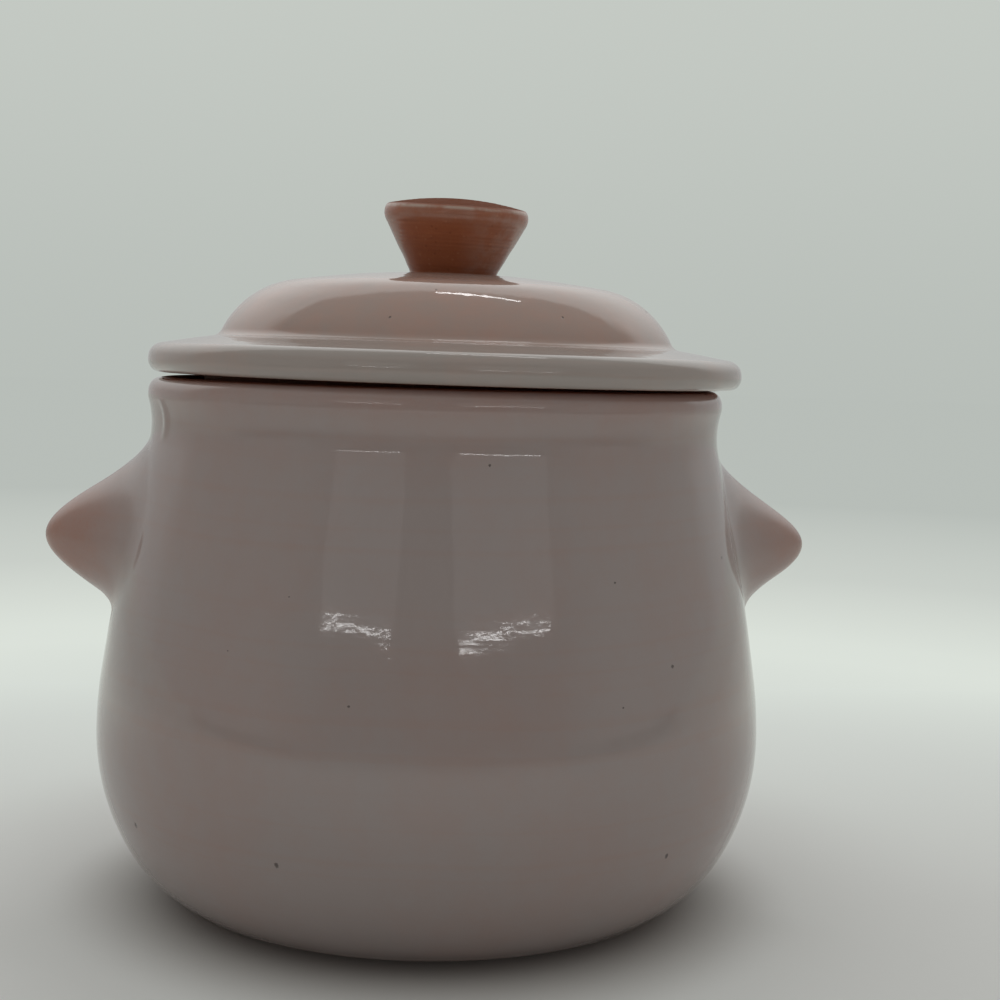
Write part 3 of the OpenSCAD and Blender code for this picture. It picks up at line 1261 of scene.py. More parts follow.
@dataclass
class Pot:
    """The thrown pot with its lugs, outer glaze and lining, in millimetres and degrees."""

    form: PotForm
    lugs: tuple[LugForm, LugForm]
    finishes: Finishes
    sunk: float = 0.2
    edge_taper: Fade = Fade(-0.2, 2.4)

    clay_around: int = 300
    clay_step: float = 1.6
    foot_points: int = 60
    rim_step: float = 0.3
    mouth_step: float = 0.5
    swirl_pitch: float = 3.4
    swirl_bend: float = 1.4
    swirl_drift: float = 22.0
    swirl_depth: float = 0.16
    swirl_edge: Fade = Fade(0.5, 3.0)

    glaze_around: int = 430
    glaze_step: float = 0.8
    back_every: int = 6
    lug_closer: float = 1.6
    lug_width: float = 0.42
    rim_cover: float = 70.0
    roll_height: float = 0.18
    roll_at: float = 1.9
    roll_width: float = 0.9
    ripple: Hand = Hand(3, 0.005, 9.0)
    wave: Hand = Hand(11, 0.014, 46.0, 5)
    calm_lug: Fade = Fade(0.2, 2.0)
    calm_end: Fade = Fade(1.5, 9.0)
    lip: Lip = Lip(lean=5.6, depth=0.074, quick=23.0, slow=7.0, phase=1.0)
    fold_turn: float = -156.5
    fold_height: float = 118.6
    fold_half: float = 4.8
    fold_rise: float = 0.45
    fold_bow: float = 2.2
    fold_back: Fade = Fade(-5.0, -1.0)
    fold_crease: Fade = Fade(-0.9, 0.5)
    # Red near the rim: the first term is thin glaze on the rim's edge; the two wider ones redden and darken
    # the neck, partly a redder tone and partly painted shade under the lid.
    rim_thin_and_neck_shade: tuple[tuple[float, Fade], ...] = (
        (0.75, Fade(0.3, 1.6)), (0.16, Fade(2.0, 9.0)), (0.08, Fade(9.0, 24.0)))
    thin_end: float = 0.8
    thin_foot: Fade = Fade(0.4, 3.0)
    dry_lug: Fade = Fade(0.0, 0.3)

    lug_around: int = 72
    lug_back_points: int = 12
    lug_face_points: int = 40
    lug_root: float = 8.6
    lug_under: float = 0.9

    lining_around: int = 260
    lining_step: float = 1.2
    spiral_height: float = 0.2
    spiral_pitch: float = 9.5
    spiral_top: Fade = Fade(4.0, 20.0)
    spiral_middle: Fade = Fade(2.0, 14.0)
    spiral_wall: float = 0.45
    spiral_fade: Fade = Fade(60.0, 110.0)
    thin_lining: Fade = Fade(0.4, 4.0)

    def build(self) -> None:
        """Builds every piece of the pot."""
        self.build_clay()
        self.build_glaze()
        self.build_lining()
        for lug in self.lugs:
            self.build_lug(lug)

    def build_clay(self) -> None:
        """Builds the bare pot, which shows at the foot, the rim and the mouth."""
        form = self.form
        foot = level_run(0.0, form.foot_x, 0.0, self.foot_points)[:-1]
        outside = form.outside(-90.0, form.rim_cover, self.clay_step).points
        bead = Arc(*form.bead_middle, form.rim_round, form.rim_cover, 180.0, self.rim_step)
        rim = Outline.of([bead]).points[1:]
        mouth = evened(np.array([rim[-1], [form.mouth_radius, form.mouth_low]]), self.mouth_step)[1:]
        inside = form.inside(form.lining_end, self.clay_step).moved(-form.wall)[::-1]
        outline = np.concatenate([foot, outside, rim, mouth, inside, [[0.0, form.wall]]])
        made = Turned(outline, even_turn(self.clay_around))
        radius = outline[:, 0]
        bend = self.swirl_bend * np.sin(made.angle + radius / self.swirl_drift)
        swirl = 0.5 + 0.5 * np.sin(FULL_TURN * radius / self.swirl_pitch + bend)
        depth = self.swirl_depth * self.swirl_edge.up(form.foot_x - radius)
        depth[len(foot):] = 0.0
        mesh = made.mesh("pot_clay", made.lifted(made.grid, UP, depth * swirl))
        add_piece(mesh, self.finishes.clay, Body.POT, "pot_body")

    def build_glaze(self) -> None:
        """Builds the outer glaze, one glassy coat over the wall and both lugs."""
        form = self.form
        skin = form.outside(form.foot_bare - 90.0, self.rim_cover, self.glaze_step)
        from_end = np.minimum(skin.length, skin.length[-1] - skin.length)
        coat = form.outer_coat * np.sqrt(self.edge_taper.up(from_end))
        coat = coat + self.roll_height * swell(skin.length, self.roll_at, self.roll_width)
        coat[0] = coat[-1] = 0.0
        hidden_side = slice(-2, 0, -self.back_every)
        back = skin.moved(-self.sunk)[hidden_side]
        turn = lug_turn(self.glaze_around, self.lug_closer, self.lug_width)
        made = Turned(np.concatenate([skin.moved(coat), back]), turn)
        front = len(skin.points)
        plain = made.grid[:, :front]
        outer = plain
        for lug in self.lugs:
            outer = lug.over(outer, form.outer_coat)
        pushed = outer - plain
        inner = made.grid[:, front:] + pushed[:, hidden_side]
        calm = self.calm_lug.down(np.linalg.norm(pushed, axis=-1)) * self.calm_end.up(from_end)
        rise = calm * (self.ripple.at(skin.length, made.angle) + self.wave.at(skin.length, made.angle))
        rise = rise + self.fold(outer)
        rise = rise + self.lip.rise(skin, form.bead_middle[1], form.rim_round, made.angle)
        outer = made.lifted(outer, skin.normals, rise)
        hidden = np.ones(inner.shape[:2])
        dry = self.dry_lug.up(sum(lug.share(outer) for lug in self.lugs))
        made.values["thin"] = np.concatenate([self.thinness(outer, skin.length), hidden], axis=1)
        made.values["dry"] = np.concatenate([dry, hidden], axis=1)
        mesh = made.mesh("pot_glaze", np.concatenate([outer, inner], axis=1))
        add_piece(mesh, self.finishes.outer, Body.POT, "pot_outer_glaze")

    def build_lug(self, lug: LugForm) -> None:
        """Builds the clay of one lug, which lies under the outer glaze.

        Args:
            lug: the lug's sizes.
        """
        back = self.form.belly_radius - self.lug_root
        flat = np.linspace(0.0, 1.0, self.lug_back_points)
        share = np.concatenate([flat, np.linspace(1.0, 0.0, self.lug_face_points)[1:]])
        made = Turned(np.stack([share, share], axis=1), even_turn(self.lug_around))
        upward = np.sin(made.angle)
        slope = lug.flare(upward)
        blunt = lug.tip / slope ** 2
        long = self.form.belly_radius + lug.reach - self.lug_under + blunt - back
        away = share * slope * np.sqrt(long ** 2 - blunt ** 2)
        face = lug.out(away, upward, -self.lug_under)
        out = np.where(np.arange(len(share)) < len(flat), back, face)
        across = lug.side * away * np.cos(made.angle)
        grid = np.stack([lug.side * out, across, lug.height + away * upward], axis=-1)
        mesh = made.mesh(lug.node + "_clay", grid)
        add_piece(mesh, self.finishes.clay, Body.POT, lug.node)

    def fold(self, points: np.ndarray) -> np.ndarray:
        """A tongue of thick glaze on the neck, above the left lug, with a crease on its front side.

        Args:
            points: points of the outer glaze, in millimetres.

        Returns:
            How much each point is raised, in millimetres.
        """
        turn = np.degrees(np.arctan2(points[..., 1], points[..., 0]))
        up = np.clip((points[..., 2] - self.fold_height) / self.fold_half, -1.0, 1.0)
        bow = 1.0 - up * up
        across = np.radians(turn - self.fold_turn) * self.form.neck_radius - self.fold_bow * bow
        tongue = self.fold_back.up(across) * self.fold_crease.down(across)
        return self.fold_rise * tongue * np.sqrt(bow)

    def thinness(self, points: np.ndarray, length: np.ndarray) -> np.ndarray:
        """Where the glaze ran thin and lets the red clay through, with painted shade on the neck below the
        rim.

        Args:
            points: points of the outer glaze, in millimetres.
            length: distance of each outline point along the outline.

        Returns:
            A share from 0 to 1 for each point.
        """
        # Thin glaze on the rim's edge, and on the neck partly painted shade.
        rim = sum(share * fade.down(length[-1] - length) for share, fade in self.rim_thin_and_neck_shade)
        foot = self.thin_end * self.thin_foot.down(length)
        lugs = sum(lug.thin * lug.share(points) for lug in self.lugs)
        return np.clip(lugs + rim + foot, 0.0, 1.0)

    def build_lining(self) -> None:
        """Builds the glaze inside the pot, with the finger's spiral on its floor."""
        form = self.form
        wall = form.inside(form.lining_end, self.lining_step)
        floor = level_run(0.0, form.foot_x, form.wall, int(form.foot_x / self.lining_step))[:-1]
        from_end = wall.length[-1] - wall.length
        coat = form.inner_coat * np.sqrt(self.edge_taper.up(from_end))
        coat[-1] = 0.0
        below = np.concatenate([floor + [0.0, -self.sunk], wall.moved(self.sunk - form.wall)])
        face = np.concatenate([floor + [0.0, form.inner_coat], wall.moved(-form.wall - coat)])
        made = Turned(np.concatenate([below, face[::-1][1:]]), even_turn(self.lining_around))
        start = len(below)
        along = run_length(face)[::-1][1:]
        spiral = self.spiral_height * np.sin(FULL_TURN * along / self.spiral_pitch - made.angle)
        spiral = spiral * self.spiral_top.up(from_end[0] + form.foot_x - along) * self.spiral_middle.up(along)
        spiral = spiral * (self.spiral_wall + (1.0 - self.spiral_wall) * self.spiral_fade.down(along))
        on_wall = np.where(along < form.foot_x, 0.0, 1.0)
        ways = np.stack([-on_wall, 1.0 - on_wall], axis=1)
        inner = made.lifted(made.grid[:, start:], ways, spiral)
        on_floor = np.full(len(floor), np.inf)
        edge = np.concatenate([on_floor, from_end])[::-1][1:]
        made.values["thin"] = np.concatenate([np.zeros(start), self.thin_end * self.thin_lining.down(edge)])
        mesh = made.mesh("pot_lining", np.concatenate([made.grid[:, :start], inner], axis=1))
        add_piece(mesh, self.finishes.inner, Body.POT, "pot_inner_glaze")


@dataclass
class Lid:
    """The loose lid: clay, glaze, lining and knob, in millimetres and degrees."""

    form: LidForm
    finishes: Finishes
    sunk: float = 0.2
    edge_taper: Fade = Fade(-0.1, 2.0)
    hollow_end: float = 1.0

    clay_around: int = 280
    clay_step: float = 1.2
    hollow_step: float = 1.6
    seat_step: float = 0.6
    collar_step: float = 0.3
    collar_soft: float = 0.5
    ring_pitch: float = 1.9
    ring_depth: float = 0.05
    ring_start: float = 0.5

    glaze_around: int = 360
    glaze_step: float = 0.8
    edge_wrap: float = 74.0
    knob_overlap: float = 0.15
    ripple: Hand = Hand(5, 0.016, 8.0)
    wave: Hand = Hand(17, 0.06, 34.0, 5)
    calm_edge: Fade = Fade(3.0, 10.0)
    calm_knob: Fade = Fade(2.0, 10.0)
    lip: Lip = Lip(lean=4.9, depth=0.104, quick=19.0, slow=8.0, phase=2.0)
    knob_follow: Fade = Fade(10.5, 24.0)
    thin_edge: float = 0.75
    thin_edge_fade: Fade = Fade(0.2, 1.4)
    thin_dome: float = 0.3
    thin_dome_start: Fade = Fade(17.0, 25.0)
    thin_dome_end: Fade = Fade(46.0, 60.0)
    thin_dome_loss: float = 0.6

    lining_around: int = 240
    lining_step: float = 1.2
    spiral_height: float = 0.14
    spiral_pitch: float = 8.5
    spiral_middle: Fade = Fade(2.0, 12.0)
    spiral_fade: Fade = Fade(34.0, 46.0)
    thin_lining: float = 0.8
    thin_lining_fade: Fade = Fade(0.4, 4.0)

    knob_around: int = 200
    knob_step: float = 0.15
    knob_soft: float = 0.42
    knob_points: int = 400
    knob_bead_share: float = 0.98
    knob_foot_flare: float = 0.5
    knob_foot_height: float = 1.4
    knob_crown: float = 72.0
    knob_crown_points: int = 160
    knob_sunk: float = 0.9
    knob_lean_right: float = 1.5
    knob_lean_front: float = 3.0
    knob_grooves: Hand = Hand(23, 0.018, 1.25, 7)
    knob_groove_climb: float = 0.12
    knob_wave: Hand = Hand(29, 0.06, 5.0, 4)
    knob_foot_radius: float = 9.0
    knob_side_start: Fade = Fade(0.8, 2.5)
    knob_side_end: Fade = Fade(12.0, 16.5)
    knob_rings: Hand = Hand(31, 0.045, 2.1, 5)
    knob_ring_climb: float = 0.2
    knob_top_height: Fade = Fade(17.0, 18.0)
    knob_top_middle: Fade = Fade(0.8, 3.0)
    knob_top_edge: Fade = Fade(13.0, 16.0)
    # Pale line on the edge of the knob's top, part wear and part painted highlight, and a greyish band of
    # painted sheen below it: share, distance below the edge and width.
    worn_edge_highlight: tuple[float, float, float] = (1.0, 0.5, 0.42)
    side_sheen_band: tuple[float, float, float] = (0.22, 2.2, 1.8)
    # Painted sheen on the knob's right front side, as a light there would leave.
    right_sheen: float = 0.32
    right_sheen_turn: float = -0.6
    right_sheen_width: Fade = Fade(0.5, 1.0)
    burnish_end: Fade = Fade(-0.3, 0.6)

    def build(self) -> None:
        """Builds every piece of the lid."""
        self.build_clay()
        self.build_glaze()
        self.build_lining()
        self.build_knob()

    def collar(self) -> np.ndarray:
        """Outline of the ring that drops into the mouth, from inside to outside.

        Returns:
            The softened outline, in millimetres.
        """
        form = self.form
        outer, cut = form.collar_radius, form.collar_chamfer
        inner, low = outer - form.collar_thickness, form.seat_z - form.collar_depth
        corners = np.array([
            [inner, form.seat_z], [inner, low + cut], [inner + cut, low], [outer - cut, low],
            [outer, low + cut], [outer, form.seat_z]])
        return softened(evened(corners, self.collar_step), self.collar_soft, self.collar_step)

    def build_clay(self) -> None:
        """Builds the bare lid, which shows under the flange and on the ring."""
        form = self.form
        over = form.top(-90.0, form.knob_seat, self.clay_step).points
        dome = Outline.of(form.dome_arcs(0.0, self.hollow_end, self.hollow_step)).moved(-form.wall)[::-1]
        foot = [[form.dome_radius - form.wall, form.seat_z]]
        seat = np.array([[form.collar_radius, form.seat_z], [over[0, 0], form.seat_z]])
        under = evened(seat, self.seat_step)[1:]
        outline = np.concatenate([
            [[0.0, dome[0, 1]]], dome, foot, self.collar(), under, over[1:], [[0.0, form.dome_top]]])
        made = Turned(outline, even_turn(self.clay_around))
        radius, height = outline[:, 0], outline[:, 1]
        below = np.isclose(height, form.seat_z) & (radius > form.collar_radius + self.ring_start)
        rings = self.ring_depth * (1.0 + np.sin(FULL_TURN * radius / self.ring_pitch + made.angle))
        grid = made.lifted(made.grid, UP, np.where(below, rings, 0.0))
        mesh = made.mesh("lid_clay", form.on_rim(grid))
        add_piece(mesh, self.finishes.clay, Body.LID, "lid_body")

    def build_glaze(self) -> None:
        """Builds the glaze over the dome, the flange and its edge."""
        form = self.form
        top = form.top(-self.edge_wrap, form.knob_seat, self.glaze_step)
        hole = form.knob_base - self.knob_overlap
        count = int((form.knob_seat - hole) / self.glaze_step) + 2
        ring = level_run(form.knob_seat, hole, form.dome_top, count)[1:]
        level = np.repeat(UP, len(ring), axis=0)
        skin = Outline(np.concatenate([top.points, ring]), np.concatenate([top.normals, level]))
        length = skin.length
        coat = form.pot.outer_coat * np.sqrt(self.edge_taper.up(length))
        coat[0] = 0.0
        face, back = skin.moved(coat), skin.moved(-self.sunk)[::-1][:-1]
        made = Turned(np.concatenate([face, back]), even_turn(self.glaze_around))
        front = len(face)
        uneven = self.ripple.at(length, made.angle) + self.wave.at(length, made.angle)
        calm = self.calm_edge.up(length) * self.calm_knob.up(length[-1] - length)
        rise = uneven * calm + self.lip.rise(skin, form.edge_middle[1], form.edge_round, made.angle)
        outer = made.lifted(made.grid[:, :front], skin.normals, rise)
        grid = np.concatenate([outer, made.grid[:, front:]], axis=1)
        grid[..., 0] += form.knob_offset * self.knob_follow.down(made.outline[:, 0])
        dome = self.thin_dome_start.up(length) * (1.0 - self.thin_dome_loss * self.thin_dome_end.up(length))
        thin = self.thin_edge * self.thin_edge_fade.down(length) + self.thin_dome * dome
        made.values["thin"] = np.concatenate([np.clip(thin, 0.0, 1.0), np.ones(len(back))])
        mesh = made.mesh("lid_glaze", form.on_rim(grid))
        add_piece(mesh, self.finishes.lid, Body.LID, "lid_top_glaze")

    def build_lining(self) -> None:
        """Builds the glaze in the lid's hollow."""
        form = self.form
        dome = Outline.of(form.dome_arcs(0.0, self.hollow_end, self.lining_step))
        foot = [[form.dome_radius, form.seat_z + form.hollow_bare]]
        skin = Outline(np.concatenate([foot, dome.points]), np.concatenate([OUT, dome.normals]))
        coat = form.pot.inner_coat * np.sqrt(self.edge_taper.up(skin.length))
        coat[0] = 0.0
        face, back = skin.moved(-form.wall - coat)[::-1], skin.moved(self.sunk - form.wall)
        outline = np.concatenate([[[0.0, face[0, 1]]], face, back[1:], [[0.0, back[-1, 1]]]])
        made = Turned(outline, even_turn(self.lining_around))
        front = len(face) + 1
        radius = outline[:, 0]
        spiral = self.spiral_height * np.sin(FULL_TURN * radius / self.spiral_pitch - made.angle)
        spiral = spiral * self.spiral_middle.up(radius) * self.spiral_fade.down(radius)
        spiral[:, front:] = 0.0
        thin = np.zeros(len(outline))
        thin[1:front] = self.thin_lining * self.thin_lining_fade.down(skin.length)[::-1]
        made.values["thin"] = thin
        mesh = made.mesh("lid_lining", form.on_rim(made.lifted(made.grid, UP, spiral)))
        add_piece(mesh, self.finishes.inner, Body.LID, "lid_inner_glaze")

    def knob_outline(self) -> np.ndarray:
        """Outline of the knob from the middle of its foot to the middle of its top.

        Returns:
            The points, with softened corners, in millimetres.
        """
        form = self.form
        low, top = form.dome_top, form.dome_top + form.knob_height
        edge_x, edge_z = form.knob_radius - form.knob_edge, top - form.knob_drop
        crown_z = top - self.knob_crown
        across, rise = edge_x - form.knob_base, edge_z - low
        lean = math.atan2(across, rise) + math.asin(form.knob_edge / math.hypot(across, rise))
        height = np.linspace(low, edge_z + form.knob_edge * self.knob_bead_share, self.knob_points)
        cone = form.knob_base + (height - low) * math.tan(lean)
        bead = edge_x + np.sqrt(np.maximum(form.knob_edge ** 2 - (height - edge_z) ** 2, 0.0))
        side = np.where(height < edge_z - form.knob_edge * math.sin(lean), cone, bead)
        side = side + self.knob_foot_flare * Fade(low, low + self.knob_foot_height).down(height)
        below = height < crown_z + np.sqrt(np.maximum(self.knob_crown ** 2 - side ** 2, 0.0))
        wall = np.stack([side, height], axis=1)[below]
        inwards = np.linspace(wall[-1, 0], 0.0, self.knob_crown_points)[1:]
        crown = np.stack([inwards, crown_z + np.sqrt(self.knob_crown ** 2 - inwards ** 2)], axis=1)
        foot = level_run(0.0, side[0], low - self.knob_sunk, 2)
        body = evened(np.concatenate([wall, crown]), self.knob_step)
        return np.concatenate([foot, softened(body, self.knob_soft, self.knob_step)])

    def build_knob(self) -> None:
        """Builds the bare knob with its throwing rings, its worn edge with a painted highlight, and its
        painted sheen.
        """
        form = self.form
        outline = self.knob_outline()
        made = Turned(outline, even_turn(self.knob_around))
        radius, height = outline[:, 0], outline[:, 1] - form.dome_top
        climb = made.angle / math.pi
        level = np.zeros_like(climb)
        side = (radius > self.knob_foot_radius) * self.knob_side_start.up(height)
        side = side * self.knob_side_end.down(height)
        grooves = self.knob_grooves.at(height + self.knob_groove_climb * climb, level)
        grid = made.lifted(made.grid, OUT, side * (grooves + self.knob_wave.at(height, made.angle)))
        top = self.knob_top_height.up(height) * self.knob_top_middle.up(radius)
        top = top * self.knob_top_edge.down(radius)
        grid = made.lifted(grid, UP, top * self.knob_rings.at(radius + self.knob_ring_climb * climb, level))
        values = made.values
        values["pale_wear_and_sheen"], values["burnish"] = self.knob_wear(outline, side, made.angle)
        mesh = made.mesh("lid_knob_clay", form.on_rim(self.leaned(grid)))
        add_piece(mesh, self.finishes.knob, Body.LID, "lid_knob")

    def leaned(self, grid: np.ndarray) -> np.ndarray:
        """Leans the upright knob as the hand set it.

        Args:
            grid: points of the upright knob, in millimetres.

        Returns:
            The points of the knob off the lid's middle, leaning to the right and to the front.
        """
        right, ahead = math.radians(self.knob_lean_right), math.radians(self.knob_lean_front)
        x, y, z = np.moveaxis(grid, -1, 0)
        rise = z - self.form.dome_top
        return np.stack([
            x + self.form.knob_offset + rise * right, y - rise * ahead, z - (x * right - y * ahead),
        ], axis=-1)

    def knob_wear(
        self, outline: np.ndarray, side: np.ndarray, angle: np.ndarray,
    ) -> tuple[np.ndarray, np.ndarray]:
        """Where the knob is pale from wear, painted highlight and painted sheen, and where it is polished.

        Args:
            outline: the knob's outline.
            side: 1 on the knob's side, 0 elsewhere, for each outline point.
            angle: angles round the axis, as a column.

        Returns:
            The pale share (wear, painted highlight and painted sheen) and the polished share of each point.
        """
        corner = int(np.argmax(outline[:, 0] + 0.9 * outline[:, 1]))
        from_corner = run_length(outline)
        from_corner = from_corner - from_corner[corner]
        # Pale line on the top's edge, part wear and part painted highlight, and a band of painted sheen below
        # it.
        wear_and_sheen = sum(
            share * swell(from_corner, -below, width)
            for share, below, width in (self.worn_edge_highlight, self.side_sheen_band))
        # Painted sheen on the knob's right front side.
        right_sheen_share = self.right_sheen * self.right_sheen_width.up(np.cos(angle - self.right_sheen_turn)) * side
        return np.clip(wear_and_sheen + right_sheen_share, 0.0, 1.0), self.burnish_end.down(from_corner)


@dataclass
class Studio:
    """Camera, floor, backdrop and lamps, in metres and degrees where nothing else is said."""

    lens: float = 59.4
    sensor: float = 36.0
    camera_at: Place = (-0.02666, -0.41224, 0.1356)
    pitch: float = 5.06
    pan: float = 5.98
    roll: float = 1.6

    backdrop_low: Colour = (0.478, 0.512, 0.482)
    backdrop_high: Colour = (0.56, 0.594, 0.555)
    room_tint: Colour = (1.0, 0.995, 0.955)
    back_tint: Colour = (0.985, 1.0, 0.985)
    back_slope: float = 1.88
    back_spread: float = 1.9
    back_level: float = 0.5
    back_gain: float = 0.85
    room_level: float = 0.4
    camera_loss: float = 0.28
    camera_rise: float = 0.07
    ceiling_gain: float = 0.22

    floor_radius: float = 6.0
    floor_around: int = 96
    floor_drop: float = 0.0002
    floor_tint: Colour = (0.81, 0.82215, 0.81)
    floor_fleck: Colour = (0.7, 0.7, 0.7)
    # Painted contact shadow on the floor round the pot's foot.
    painted_contact_shadow: Colour = (0.36, 0.33, 0.31)
    glow_reach: float = 1.5
    glow_stops: tuple[tuple[float, Colour], ...] = (
        (0.15, (0.65, 0.69, 0.65)), (0.25, (0.71, 0.755, 0.7)), (0.28, (0.705, 0.75, 0.695)),
        (0.34, (0.66, 0.7, 0.65)), (0.44, (0.585, 0.62, 0.58)), (0.8, (0.478, 0.512, 0.482)))

    windows: tuple[tuple[str, float, float], ...] = (
        ("window_left", -30.0, 1.0), ("window_right", 22.0, 1.35))
    window_far: float = 2.0
    window_middle: Place = (0.0, -0.075, 0.085)
    window_rise: float = 10.3
    window_tall: float = 0.62
    window_glow: float = 0.23
    sill_share: float = 0.86
    sill_tall: float = 0.007
    sill_glow: float = 22.0
    strip_at: Place = (0.3, 0.7, 1.95)
    strip_target: Place = (0.0, -0.05, 0.15)
    strip_size: tuple[float, float] = (0.66, 0.08)
    strip_glow: float = 9.0

    def build(self) -> None:
        """Builds everything around the object."""
        self.build_camera()
        self.build_world()
        self.build_floor()
        self.build_lamps()
        bpy.context.scene.view_settings.view_transform = "Standard"

    def build_camera(self) -> None:
        """Puts the camera where the photograph was taken from."""
        pitch, pan, roll = (math.radians(v) for v in (self.pitch, self.pan, self.roll))
        ahead = Vector((math.sin(pan) * math.cos(pitch), math.cos(pan) * math.cos(pitch), -math.sin(pitch)))
        level = Vector((math.cos(pan), -math.sin(pan), 0.0))
        above = level.cross(ahead)
        right = level * math.cos(roll) + above * math.sin(roll)
        up = above * math.cos(roll) - level * math.sin(roll)
        data = bpy.data.cameras.new("camera")
        data.lens = self.lens
        data.sensor_width = self.sensor
        data.clip_start = 0.01
        data.clip_end = 50.0
        camera = put_in_scene("camera", data)
        turn = Matrix((right, up, -ahead)).transposed().to_4x4()
        camera.matrix_world = Matrix.Translation(Vector(self.camera_at)) @ turn
        bpy.context.scene.camera = camera

    def build_world(self) -> None:
        """Builds a pale tent round the object, dimmer on the side of the camera."""
        world = bpy.data.worlds.new("tent")
        bpy.context.scene.world = world
        world.use_nodes = True
        graph = Graph(world.node_tree)
        way = graph.parts(graph.node("ShaderNodeTexCoord").outputs["Generated"])
        side, depth, height = graph.math("ABSOLUTE", way["X"]), way["Y"], way["Z"]
        over = graph.minus(height, graph.times(depth, self.back_slope))
        beside = graph.minus(side, graph.times(depth, self.back_spread))
        behind = graph.times(
            graph.spread(over, -0.1, 0.08, 1.0, 0.0), graph.spread(beside, -0.25, 0.32, 1.0, 0.0))
        back = graph.plus(self.back_level, graph.spread(height, 0.02, 0.62, 0.0, self.back_gain))
        ahead = graph.spread(depth, -0.95, -0.4, 1.0, 0.0)
        loss = graph.minus(self.camera_loss, graph.spread(height, 0.16, 0.19, 0.0, self.camera_rise))
        room = graph.plus(
            graph.minus(self.room_level, graph.times(ahead, loss)),
            graph.spread(height, 0.35, 0.9, 0.0, self.ceiling_gain))
        level = graph.plus(graph.times(behind, back), graph.times(graph.minus(1.0, behind), room))
        tint = graph.mix(behind, self.room_tint, self.back_tint)
        tent = graph.node("ShaderNodeVectorMath", {0: tint, 3: level}, operation="SCALE").outputs[0]
        rise = graph.spread(height, -0.06, 0.26, 0.0, 1.0)
        backdrop = graph.mix(rise, self.backdrop_low, self.backdrop_high)
        path = graph.node("ShaderNodeLightPath").outputs
        seen = graph.largest(path["Is Camera Ray"], path["Is Transmission Ray"])
        shown = graph.mix(seen, tent, backdrop)
        shade = graph.node("ShaderNodeBackground", {"Color": shown, "Strength": 1.0})
        graph.node("ShaderNodeOutputWorld", {"Surface": shade.outputs[0]})

    def build_floor(self) -> None:
        """Builds a pale floor that keeps the shadow and fades into the backdrop."""
        turn = even_turn(self.floor_around)
        rim = np.stack([np.cos(turn), np.sin(turn), np.zeros_like(turn)], axis=1) * self.floor_radius
        mesh = bpy.data.meshes.new("floor")
        mesh.from_pydata((rim - [0.0, 0.0, self.floor_drop]).tolist(), [], [list(range(len(turn)))])
        mesh.materials.append(self.floor_material())
        put_in_scene("floor", mesh)

    def floor_material(self) -> bpy.types.Material:
        """Builds the floor's paper: matt near the object, glowing like the backdrop far off, with a painted
        pool of light that is brightest in a ring and behind the pot.

        Returns:
            The material.
        """
        made, graph = new_material("pale_floor")
        place = graph.place()
        away = graph.length(place)
        depth = graph.parts(place)["Y"]
        fleck = graph.spread(graph.noise(place, scale=900.0), 0.3, 0.7, 0.0, 0.03)
        tint = graph.mix(fleck, self.floor_tint, self.floor_fleck)
        # Painted contact shadow: the floor darkens close round the pot's foot.
        tint = graph.mix(graph.spread(away, 0.054, 0.096, 0.85, 0.0), tint, self.painted_contact_shadow)
        matt = graph.node("ShaderNodeBsdfDiffuse", {"Color": tint, "Roughness": 0.4})
        path = graph.node("ShaderNodeLightPath").outputs
        # Painted light: the floor's glow is brightest in a ring, and in reflections it is dimmed towards the
        # front.
        far = graph.ramp(graph.math("DIVIDE", away, self.glow_reach), self.glow_stops)
        dim = graph.times(path["Is Glossy Ray"], graph.spread(depth, -0.5, 0.1, 0.6, 0.0))
        far = graph.mix(dim, far, (0.0, 0.0, 0.0))
        glow = graph.node("ShaderNodeEmission", {"Color": far, "Strength": 1.0})
        seen = graph.largest(path["Is Camera Ray"], path["Is Glossy Ray"], path["Is Transmission Ray"])
        # Painted light: behind the pot the floor glows, more so further back.
        inputs = {"Value": depth, "From Min": -0.02, "From Max": 0.25}
        back = graph.node("ShaderNodeMapRange", inputs).outputs[0]
        back = graph.times(back, graph.spread(away, 0.085, 0.16, 0.0, 1.0))
        share = graph.times(seen, graph.largest(back, graph.spread(away, 0.4, 1.0, 0.0, 1.0)))
        both = graph.node("ShaderNodeMixShader", {0: share, 1: matt.outputs[0], 2: glow.outputs[0]})
        graph.node("ShaderNodeOutputMaterial", {"Surface": both.outputs[0]})
        return made

    def build_lamps(self) -> None:
        """Hangs two soft window panes with bright sills at the front, and a strip above the back."""
        for name, turn, width in self.windows:
            self.window(name, turn, width)
        self.softbox("strip", self.strip_at, self.strip_target, self.strip_size, self.strip_glow)

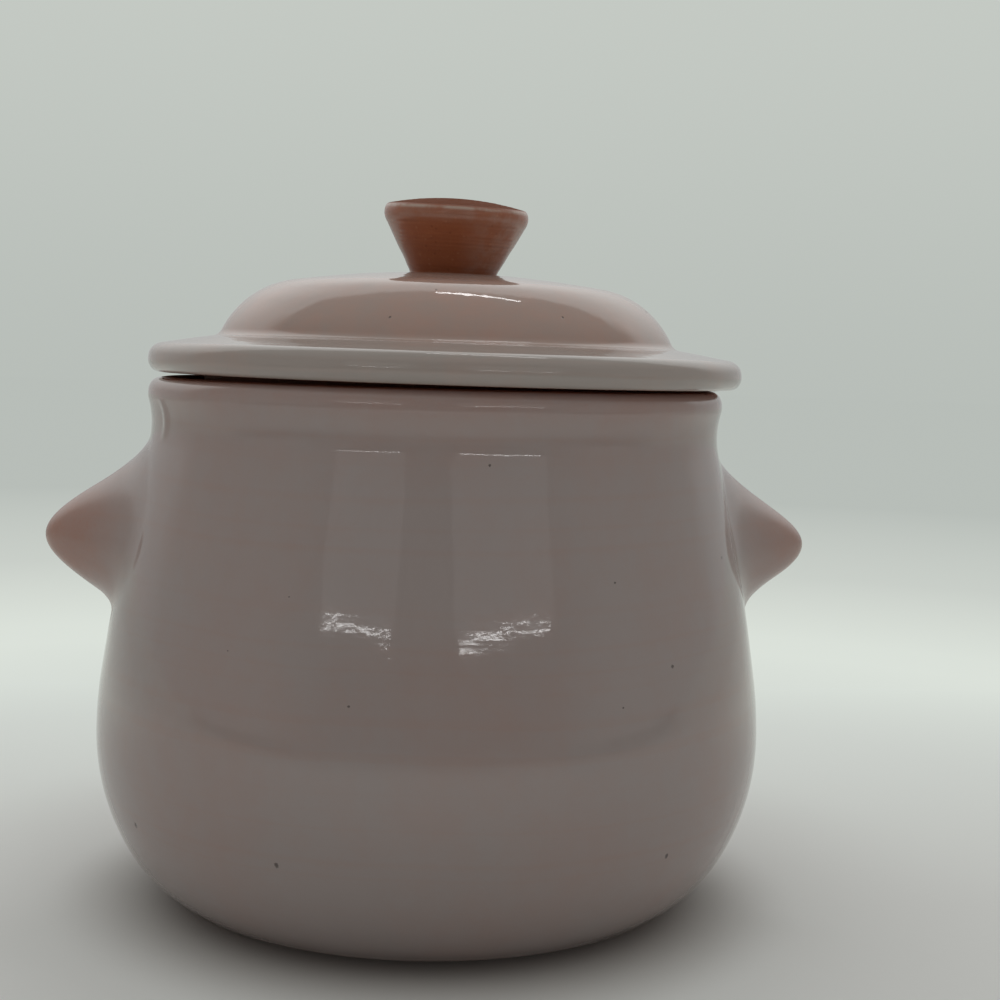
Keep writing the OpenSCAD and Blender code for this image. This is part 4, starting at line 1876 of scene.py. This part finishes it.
    def window(self, name: str, turn: float, width: float) -> None:
        """Hangs a wide soft window with a thin bright sill.

        Args:
            name: name of the lamps.
            turn: direction from the pot, in degrees from the camera's side.
            width: width of the window, in metres.
        """
        angle = math.radians(turn)
        low = self.window_far * math.tan(math.radians(self.window_rise))
        sill = Vector(self.window_middle)
        sill += self.window_far * Vector((math.sin(angle), -math.cos(angle), 0.0)) + Vector((0.0, 0.0, low))
        pane = sill + Vector((0.0, 0.0, self.window_tall / 2.0))
        target = self.window_middle
        self.softbox(name, tuple(pane), target, (width, self.window_tall), self.window_glow)
        size = (width * self.sill_share, self.sill_tall)
        self.softbox(name + "_sill", tuple(sill), target, size, self.sill_glow)

    def softbox(self, name: str, at: Place, target: Place, size: tuple[float, float], glow: float) -> None:
        """Hangs one rectangular lamp.

        Args:
            name: name of the lamp.
            at: its middle, in metres.
            target: the point that it faces.
            size: its width and height, in metres.
            glow: its brightness as seen in a mirror, where 1 is white.
        """
        data = bpy.data.lights.new(name, "AREA")
        data.shape = "RECTANGLE"
        data.size, data.size_y = size
        data.energy = glow * math.pi * size[0] * size[1]
        lamp = put_in_scene(name, data)
        lamp.location = at
        lamp.rotation_euler = (Vector(target) - Vector(at)).to_track_quat("-Z", "Y").to_euler()
        lamp.visible_camera = False
        LOG.info("%s: lamp of %.2f by %.3f m", name, *size)


def main() -> None:
    """Builds the object and its surroundings."""
    logging.basicConfig(level=logging.INFO, format="%(name)s %(message)s")
    finishes = Finishes.mixed()
    pot_form = PotForm()
    left_lug = LugForm(
        "left_lug", -1.0, pot_form, reach=13.2, height=88.65, tip=5.0, angle_top=25.1, angle_low=29.2,
        blend_top=11.5, blend_low=4.0)
    right_lug = LugForm(
        "right_lug", 1.0, pot_form, reach=12.7, height=88.9, tip=4.4, angle_top=22.5, angle_low=22.0,
        blend_top=16.4, blend_low=10.5, blend_side=18.0, thin=0.4)
    Pot(pot_form, (left_lug, right_lug), finishes).build()
    Lid(LidForm(pot_form), finishes).build()
    Studio().build()


if __name__ == "__main__":
    main()
